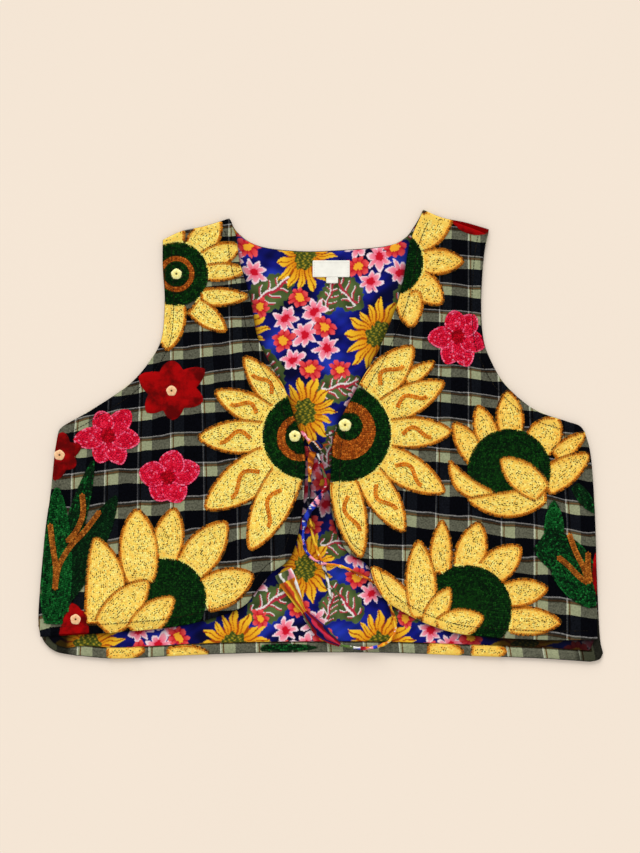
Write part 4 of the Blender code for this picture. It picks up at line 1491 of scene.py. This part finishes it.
def leaf_colours(motif, away, colours):
    """Paints one printed leaf, with its toothed edge, its middle rib and its side veins."""
    along, across = along_and_across(away, motif.turn)
    along = along / motif.radius
    across = across / motif.radius
    half = 0.58 * np.clip(1 - np.abs(along) ** 1.8, 0, 1) ** 0.7 * (1 - 0.25 * along)
    half = half + 0.035 * np.sin(along * 26)
    leaf = (np.abs(across) < half) & (np.abs(along) < 1)
    shade = 0.8 + 0.35 * np.sin(along * 5 + across * 4) * np.sin(across * 7)
    colours[leaf] = (linear(PRINT_LEAF) * shade[:, None])[leaf]
    inner = leaf & (np.abs(across) < 0.62 * half + 0.04) & (np.abs(along) < 0.74)
    slant = (along - 0.8 * np.abs(across)) * 2.9 % 1.0 - 0.5
    rib = np.abs(across + 0.03 * np.sin(along * 6)) < 0.05
    colours[inner & (np.abs(slant) < 0.12)] = linear(PRINT_VEINS[1])
    colours[inner & (np.abs(slant - 0.13) < 0.06)] = linear(PRINT_VEINS[0])
    colours[inner & rib] = linear(PRINT_VEINS[1])
    colours[inner & (np.abs(across - 0.075) < 0.03)] = linear(PRINT_VEINS[0])
    return colours


def print_colours(places):
    """The print's colour at each place of the cloth."""
    x, y = places[:, 0], places[:, 1]
    drawn = places + 0.9 * np.column_stack((np.sin(y / 3.1 + x / 7), np.sin(x / 2.7 - y / 6)))
    cloud = 0.5 + 0.25 * np.sin(x / 13 + np.sin(y / 9)) + 0.25 * np.sin(y / 11 + 2 * np.sin(x / 17))
    streak = np.sin(x / 3.3 + 2 * np.sin(y / 7)) * np.sin(y / 2.6 - x / 9)
    colours = linear(PRINT_GROUND) * np.clip(1.15 * cloud + 0.45 * streak * cloud, 0.1, 1.8)[:, None]
    colours += linear(PRINT_HAZE) * np.clip(cloud - 0.62, 0, 1)[:, None]
    for motif in PRINT_MOTIFS:
        away = drawn - PRINT_SHIFT - (motif.x, motif.y)
        away = (away + PRINT_REPEAT / 2) % PRINT_REPEAT - PRINT_REPEAT / 2
        paint_motif = leaf_colours if motif.kind == "leaf" else bloom_colours
        colours = paint_motif(motif, away, colours)
    return colours


def lining_rise(places):
    """Soft creases of the lining, which lies loose in the opening."""
    x, y = places[:, 0], places[:, 1]
    crease = 0.35 * np.sin(x / 12 + y / 31 + 1.2 * np.sin(y / 27)) + 0.15 * np.sin(y / 14 - x / 9)
    return fold_rise(places, LINING_FOLDS) + 0.8 * np.maximum(crease, -0.3)


def lining_painted_shade(places, lines):
    """Painted shade on the lining: darker beside the fronts, where they nearly meet, and towards the sides.
    """
    away = -deepest(places, lines, 16.0)
    x, y = places.T
    # Painted shade: a soft dark band along the fronts' edges, a darker patch where they nearly meet, and
    # darkening towards both sides.
    light = 1 - 0.75 * np.exp(-np.maximum(away, 0) / 5)
    light *= 1 - 0.65 * np.exp(-(((x + 2) / 20) ** 4) - ((y + 62) / 48) ** 4)
    light *= np.clip((x + 262) / 14, 0.03, 1)
    return light * np.clip((190 - x) / 60, 0.06, 1)


def back_lining(lines):
    """The lining: fine where the print shows, and coarse under the fronts, whose outlines these are."""
    border = lining_line(LINING / 2)
    fine = grid_in(border, PRINT_STEP, 0.6)
    coarse = grid_in(border, 7.0, 4.0)
    shows = deepest(fine, lines, 9.0) < 7
    places = np.vstack((fine[shows], coarse[deepest(coarse, lines, 9.0) > 8]))

    def lower(points):
        return np.full(len(points), LINING_BOTTOM)

    def upper(points):
        inside = np.clip(depth(points, border) / 6, 0, 1)
        return LINING_TOP + lining_rise(points) * inside

    material = print_material("lining_print")
    made = shell("back_lining_cloth", border, places, [], lower, upper, material)
    where = positions(made)[:, :2]
    # The print's colours are multiplied by painted shade beside the fronts, between them and towards the
    # sides.
    paint("print", print_colours(where) * lining_painted_shade(where, lines)[:, None], made)
    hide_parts("back_lining")
    area = (abs(signed_area(border)) + HEM_SEAM * np.ptp(border, axis=0).sum() * 2) * MM * MM


def back_panel(thread):
    """The back's outer cloth, face down, with its hem turned up to the inside round the lining's floor."""
    line, _ = outline(BACK_RUNS, OUTLINE_STEP)
    border = line + inward(line) * (CLOTH / 2)
    floor = lining_line(-SEAM_GAP)
    strip = grid_in(border, 2.4, 1.2)
    strip = strip[(strip[:, 1] < -195) & (depth(strip, floor) < -1.6)]
    plain = grid_in(floor, 14.0, 6.0)
    shapes = [Shape(kind, petal_line(petal), HEM_TONE, None) for kind, petal in HEM_SHAPES]

    def lower(points):
        return np.full(len(points), BACK_LIFT)

    def upper(points):
        inside = depth(points, floor)
        step = np.clip(-inside, 0, 1)
        pad = pad_rise(points, shapes) * 0.7
        return BACK_TOP + (EDGE_TOP - BACK_TOP + 0.3 * ripple(points) + pad) * step

    places = np.vstack((strip, plain))
    made = shell("back_cloth", border, places, [floor], lower, upper, check_material("back_cloth"))
    where = positions(made)
    inside = depth(where[:, :2], line)
    across = (where[:, 0] - BACK_WARP.line) / np.interp(where[:, 1], BACK_WARP.heights, BACK_WARP.pitches)
    turned = (where[:, 2] > 1.0) & (where[:, 1] < -190)
    down = np.where(turned, 0.10 + (HEM_DEPTH - inside) / BACK_WEFT_PITCH, -where[:, 1] / BACK_WEFT_PITCH)
    lay_on("cloth", np.column_stack((across, down)), made)
    ground = ground_colours(where[:, :2], shapes)
    ground[:, 3] *= turned
    # The turned hem is painted darker towards both ends, nearly black at them.
    ends = np.clip((np.abs(where[:, 0] - 4) - 256) / 10, 0, 0.85) * turned
    ground[:, :3] *= (1 - ends)[:, None]
    ground[:, 3] = np.maximum(ground[:, 3], ends)
    paint("ground", ground, made)
    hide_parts("back_panel")

    def top(points):
        return EDGE_TOP + 0.3 * ripple(points) - 0.2

    pieces = embroider("hem", line, shapes, top, thread, hole=floor)
    pieces += back_flowers(line, thread)
    area = (abs(signed_area(line)) + HEM_DEPTH * np.ptp(line[:, 0])) * MM * MM


def back_flowers(line, thread):
    """Flat-lying flowers on the outer side of the back, which faces down."""
    shapes = stitched_shapes(BACK_FLOWERS, BACK_RINGS, (), BACK_PINKS, (), BACK_LEAVES)

    def under(points):
        return np.full(len(points), BACK_LIFT + PAD * BACK_FLAT)

    return embroider("back", line, shapes, under, thread, -BACK_FLAT)


def tie_frames(route):
    """The directions to the side of a route and up from it, at each of its points."""
    way = unit(np.gradient(route, axis=0))
    side = unit(np.column_stack((left_of(way), np.zeros(len(way)))))
    return side, np.cross(way, side)


def tube(name, rings, colours, material):
    """A closed tube from rings of points, with a colour for each point."""
    count, sides = rings.shape[:2]
    points = rings.reshape(-1, 3)
    faces = []
    for ring in range(count - 1):
        for side in range(sides):
            after = (side + 1) % sides
            a, b = ring * sides + side, ring * sides + after
            faces += [(a, b, b + sides), (a, b + sides, a + sides)]
    last = (count - 1) * sides
    for side in range(1, sides - 1):
        faces += [(0, side + 1, side), (last, last + side, last + side + 1)]
    made = new_object(name, points, np.array(faces), material)
    paint("print", colours.reshape(-1, 3), made)
    return made


def tie(name, route, stops, opened, material):
    """A narrow strip of the printed cloth, folded and twisted along its route."""
    line = line_through(route, TIE_STEP)
    lengths = run_lengths(line)
    side, up = tie_frames(line)
    share = lengths / lengths[-1]
    loose = np.exp(-(((lengths - opened.middle) / opened.reach) ** 4))
    steps = np.gradient(lengths)
    twist = np.cumsum(steps * TIE_TURN * (1 - 0.97 * loose)) + 0.6 * (1 - loose) * np.sin(lengths / 9)
    twist -= np.interp(opened.middle, lengths, twist)
    round_turn = round_turns(TIE_PLIES)
    narrowing = 1 + 0.35 * np.clip((opened.middle - lengths) / opened.reach, -1, 1)
    wide = TIE_DIAMETER * (0.52 + 0.05 * np.sin(lengths / 3.7)) * (1 + opened.wider * loose * narrowing)
    thin = TIE_DIAMETER * 0.36
    ridge = 1 + 0.12 * np.cos(2 * round_turn[None, :] * 1.5 + 0.5 * lengths[:, None])
    a = wide[:, None] * np.cos(round_turn) * ridge
    b = thin * np.sin(round_turn) * ridge
    x = a * np.cos(twist)[:, None] - b * np.sin(twist)[:, None]
    z = a * np.sin(twist)[:, None] + b * np.cos(twist)[:, None]
    rings = line[:, None, :] + x[:, :, None] * side[:, None, :] + z[:, :, None] * up[:, None, :]
    index = np.searchsorted([stop.share for stop in stops], share, side="right") - 1
    first = linear([stop.first for stop in stops])[index]
    second = linear([stop.second for stop in stops])[index]
    band = np.sin(round_turn[None, :] + (lengths / 1.5 + np.sin(lengths / 4))[:, None]) > 0.1
    colours = np.where(band[:, :, None], first[:, None, :], second[:, None, :])
    fleck = chance.random(band.shape) < 0.02
    colours[fleck] = linear(WHITE)
    made = tube(name, rings, colours, material)
    return made, line, lengths[-1]


def knot_piece(material):
    """The knot: a ball of dark cloth with bands that wind round it, and painted glints along their crests.
    """
    sides, rings = 40, 24
    turn = round_turns(sides)
    rows = []
    shades = []
    for ring in range(rings):
        lift = math.pi * (ring + 0.5) / rings
        phase = 2 * turn + 3.5 * lift
        swell = 0.92 + 0.12 * np.abs(np.sin(phase))
        reach = math.sin(lift) * swell
        x = KNOT[0] + KNOT_SIZE[0] / 2 * math.cos(lift) * swell
        y = KNOT[1] + KNOT_SIZE[1] / 2 * reach * np.cos(turn)
        z = KNOT[2] + KNOT_SIZE[2] / 2 * reach * np.sin(turn)
        rows.append(np.column_stack((x, y, z)))
        # The thin white and orange lines on and near the crests of the bands are painted glints.
        glinted_bands = np.where((np.sin(phase) > 0.985)[:, None], linear(WHITE), linear(BLACK))
        glinted_bands = np.where((np.sin(phase + 2.2) > 0.8)[:, None], linear(NAVY), glinted_bands)
        shades.append(np.where((np.sin(phase + 0.45) > 0.97)[:, None], linear(ORANGE), glinted_bands))
    return tube("knot", np.array(rows), np.array(shades), material)


def value_along(sections, share, field):
    """One column of a table of sections, at shares of the length."""
    shares = [section.share for section in sections]
    return np.interp(share, shares, [getattr(section, field) for section in sections])


def gathered_end(material):
    """The right tie's end: swollen, pinched and flared, with pleats that run along it and painted shade in
    their valleys.
    """
    route = line_through(END_ROUTE, 0.9)
    lengths = run_lengths(route)
    share = lengths / lengths[-1]
    across = left_of(unit(np.gradient(route, axis=0)))
    turn = round_turns(60)
    half_width = value_along(END_SECTIONS, share, "half_width")
    half_height = value_along(END_SECTIONS, share, "half_height")
    deep = np.interp(share, (0, 0.1, 0.3, 0.5, 0.7, 1.0), (0.02, 0.10, 0.05, 0.16, 0.10, 0.04))
    pleat = 1 - deep[:, None] * (1 + np.cos(5 * turn[None, :] + 3 * share[:, None]))
    flat = route[:, None, :] + across[:, None, :] * (half_width[:, None] * np.cos(turn) * pleat)[:, :, None]
    z = END_FLOOR + half_height[:, None] * (1 + np.sin(turn) * pleat)
    rings = np.concatenate((flat, z[:, :, None]), axis=2)
    sway = 0.5 * np.sin(9 * share[:, None]) + 0.35 * np.sin(4 * turn[None, :] + 22 * share[:, None])
    pick = np.floor(turn[None, :] / math.tau * 12 + sway).astype(int) % 6
    stretch = np.searchsorted(END_STARTS, share)
    colours = linear(END_COLOURS)[stretch[:, None], pick]
    # Painted shade: the colours darken in the valleys between the pleats.
    crease = 0.55 + 0.45 * np.cos(5 * turn[None, :] + 3 * share[:, None] + math.pi)
    colours = colours * (0.35 + 0.65 * crease)[:, :, None]
    return tube("tie_gathered_end", rings, colours, material)


def ties():
    """Both ties, the knot that joins them and the right one's gathered end."""
    material = print_material("tie_print_and_painted_light")
    knot = knot_piece(material)
    end = gathered_end(material)
    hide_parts("tie_knot")
    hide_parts("tie_end")
    left, left_line, left_length = tie("tie_left", TIE_LEFT, LEFT_TIE_COLOURS, LEFT_OPEN, material)
    right, right_line, right_length = tie("tie_right", TIE_RIGHT, RIGHT_TIE_COLOURS, RIGHT_OPEN, material)
    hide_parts("tie_left_upper", "tie_left_lower")
    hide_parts("tie_right_upper", "tie_right_lower")
    for piece, route, length, far_end, on_it in (
        (left, left_line, left_length, "bare", [knot]),
        (right, right_line, right_length, "knot", [end]),
    ):
        [tuple(place) for place in route * MM]
        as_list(on_it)


def labels(thread):
    """The bare label at the back neck and the bare tab under it."""
    material = label_material()
    for name, node, x, y, size in (
        ("label_cloth", "label", LABEL_PLACE[0], LABEL_PLACE[1], LABEL_SIZE),
        ("tab_cloth", "size_tab", LABEL_PLACE[0] + 1, LABEL_PLACE[1] - 11.8, TAB_SIZE),
    ):
        half = np.array(size) / 2 - 0.3
        corners = np.array(SQUARE) * half + (x, y)
        border = even(corners, 1.0)

        def lower(points):
            return LINING_TOP + 0.25 + np.maximum(lining_rise(points), 0)

        def upper(points):
            inside = np.clip(depth(points, border) / 2.0, 0, 1)
            return lower(points) + 0.5 + 0.25 * (1 - inside)

        shell(name, border, grid_in(border, 1.2, 0.6), [], lower, upper, material)
        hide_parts(node)
    stitches = Stitches(GRAIN_POINTS, GRAIN_FACES)
    for side in (-1, 1):
        x = LABEL_PLACE[0] + side * (LABEL_SIZE[0] / 2 - 1.6)
        places = np.column_stack((np.full(6, x), LABEL_PLACE[1] + np.linspace(-6.5, 6.5, 6)))
        level = LINING_TOP + 0.8 + np.maximum(lining_rise(places), 0)
        ways = np.tile((0.0, 1.0), (6, 1))
        stitches.add(places, ways, level, (2.0, 0.6, 0.3), np.tile(linear(LABEL_THREAD), (6, 1)))
    sewn = stitches.lay("label_stitches", thread)


def add_camera():
    """Straight above the vest, as the photograph was taken."""
    scene = bpy.context.scene
    eye = bpy.data.cameras.new("camera")
    eye.lens = LENS
    eye.sensor_width = SENSOR
    made = bpy.data.objects.new("camera", eye)
    made.location = CAMERA_PLACE
    scene.collection.objects.link(made)
    scene.camera = made
    scene.view_settings.view_transform = "Standard"


def add_light():
    """Soft light from all round, and a wide soft sun."""
    scene = bpy.context.scene
    world = bpy.data.worlds.new("studio")
    scene.world = world
    world.use_nodes = True
    background = world.node_tree.nodes["Background"]
    background.inputs["Color"].default_value = (1.0, 1.0, 1.0, 1.0)
    background.inputs["Strength"].default_value = WORLD_STRENGTH
    lamp = bpy.data.lights.new("sun", "SUN")
    lamp.energy = SUN_STRENGTH
    lamp.angle = math.radians(SUN_SPREAD)
    holder = bpy.data.objects.new("sun", lamp)
    holder.rotation_euler = Vector(SUN_WAY).to_track_quat("-Z", "Y").to_euler()
    scene.collection.objects.link(holder)


def add_floor():
    """A plain pale floor."""
    n = Nodes("floor")
    cream = linear(FLOOR_COLOUR)
    colour = n.ramp(n.noise(3, 1.0), ((0.3, cream * 0.99), (0.7, cream)), "LINEAR")
    data = bpy.data.meshes.new("floor")
    corners = [(x * FLOOR_HALF, y * FLOOR_HALF, FLOOR_LEVEL) for x, y in SQUARE]
    data.from_pydata(corners, [], [(0, 1, 2, 3)])
    data.materials.append(n.finish(colour, 1.0, specular=0.0))
    made = bpy.data.objects.new("floor", data)
    bpy.context.scene.collection.objects.link(made)


# What is stitched on a front, in the order that stitched_shapes takes it.
Stitched = namedtuple("Stitched", "flowers rings petals pinks stars leaves")
LEFT_STITCHED = Stitched(LEFT_FLOWERS, LEFT_RINGS, LEFT_PETALS, LEFT_PINKS, LEFT_STARS, LEFT_LEAVES)
RIGHT_STITCHED = Stitched(RIGHT_FLOWERS, RIGHT_RINGS, RIGHT_PETALS, RIGHT_PINKS, RIGHT_STARS, RIGHT_LEAVES)


def fronts(thread, felt):
    """Both fronts, with all that is stitched on them. Returns their outlines."""
    tables = (
        ("front_left", LEFT_RUNS, LEFT_WEFTS, LEFT_WARP, LEFT_STITCHED, LEFT_STEMS),
        ("front_right", RIGHT_RUNS, RIGHT_WEFTS, RIGHT_WARP, RIGHT_STITCHED, RIGHT_STEMS),
    )
    lines = []
    for node, runs, wefts, warp, motifs, stalks in tables:
        shapes = stitched_shapes(*motifs)
        cloth, line, area, size = front(f"{node}_cloth", runs, wefts, warp, shapes)
        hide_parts(node)
        pieces = embroider(node, line, shapes, cloth_top, thread)
        for index, star in enumerate(motifs.stars):
            pieces.append(felt_star(f"{node}_star_{index}", star, line, felt))
            if star.notch < 1:
                name = f"{node}_star_middle_{index}"
                level = top_at(star) + 1.1
                pieces.append(stud(name, star.x, star.y, 5.6, level, 0.9, STAR_SHADES, thread))
        for index, ring in enumerate(motifs.rings):
            if ring.kind == "button":
                name = f"{node}_button_{index}"
                level = top_at(ring) + PAD
                pieces.append(stud(name, ring.x, ring.y, ring.radius, level, 1.6, BUTTON_SHADES, thread))
        pieces.append(stems(f"{node}_stems", stalks, line, thread))
        pieces.append(topstitch(f"{node}_topstitch", runs, shapes, thread))
        lines.append(line)
    return lines


def main():
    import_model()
    add_camera()
    add_light()
    add_floor()
    thread = thread_material()
    lines = fronts(thread, felt_material())
    back_lining(lines)
    back_panel(thread)
    ties()
    labels(thread)


main()
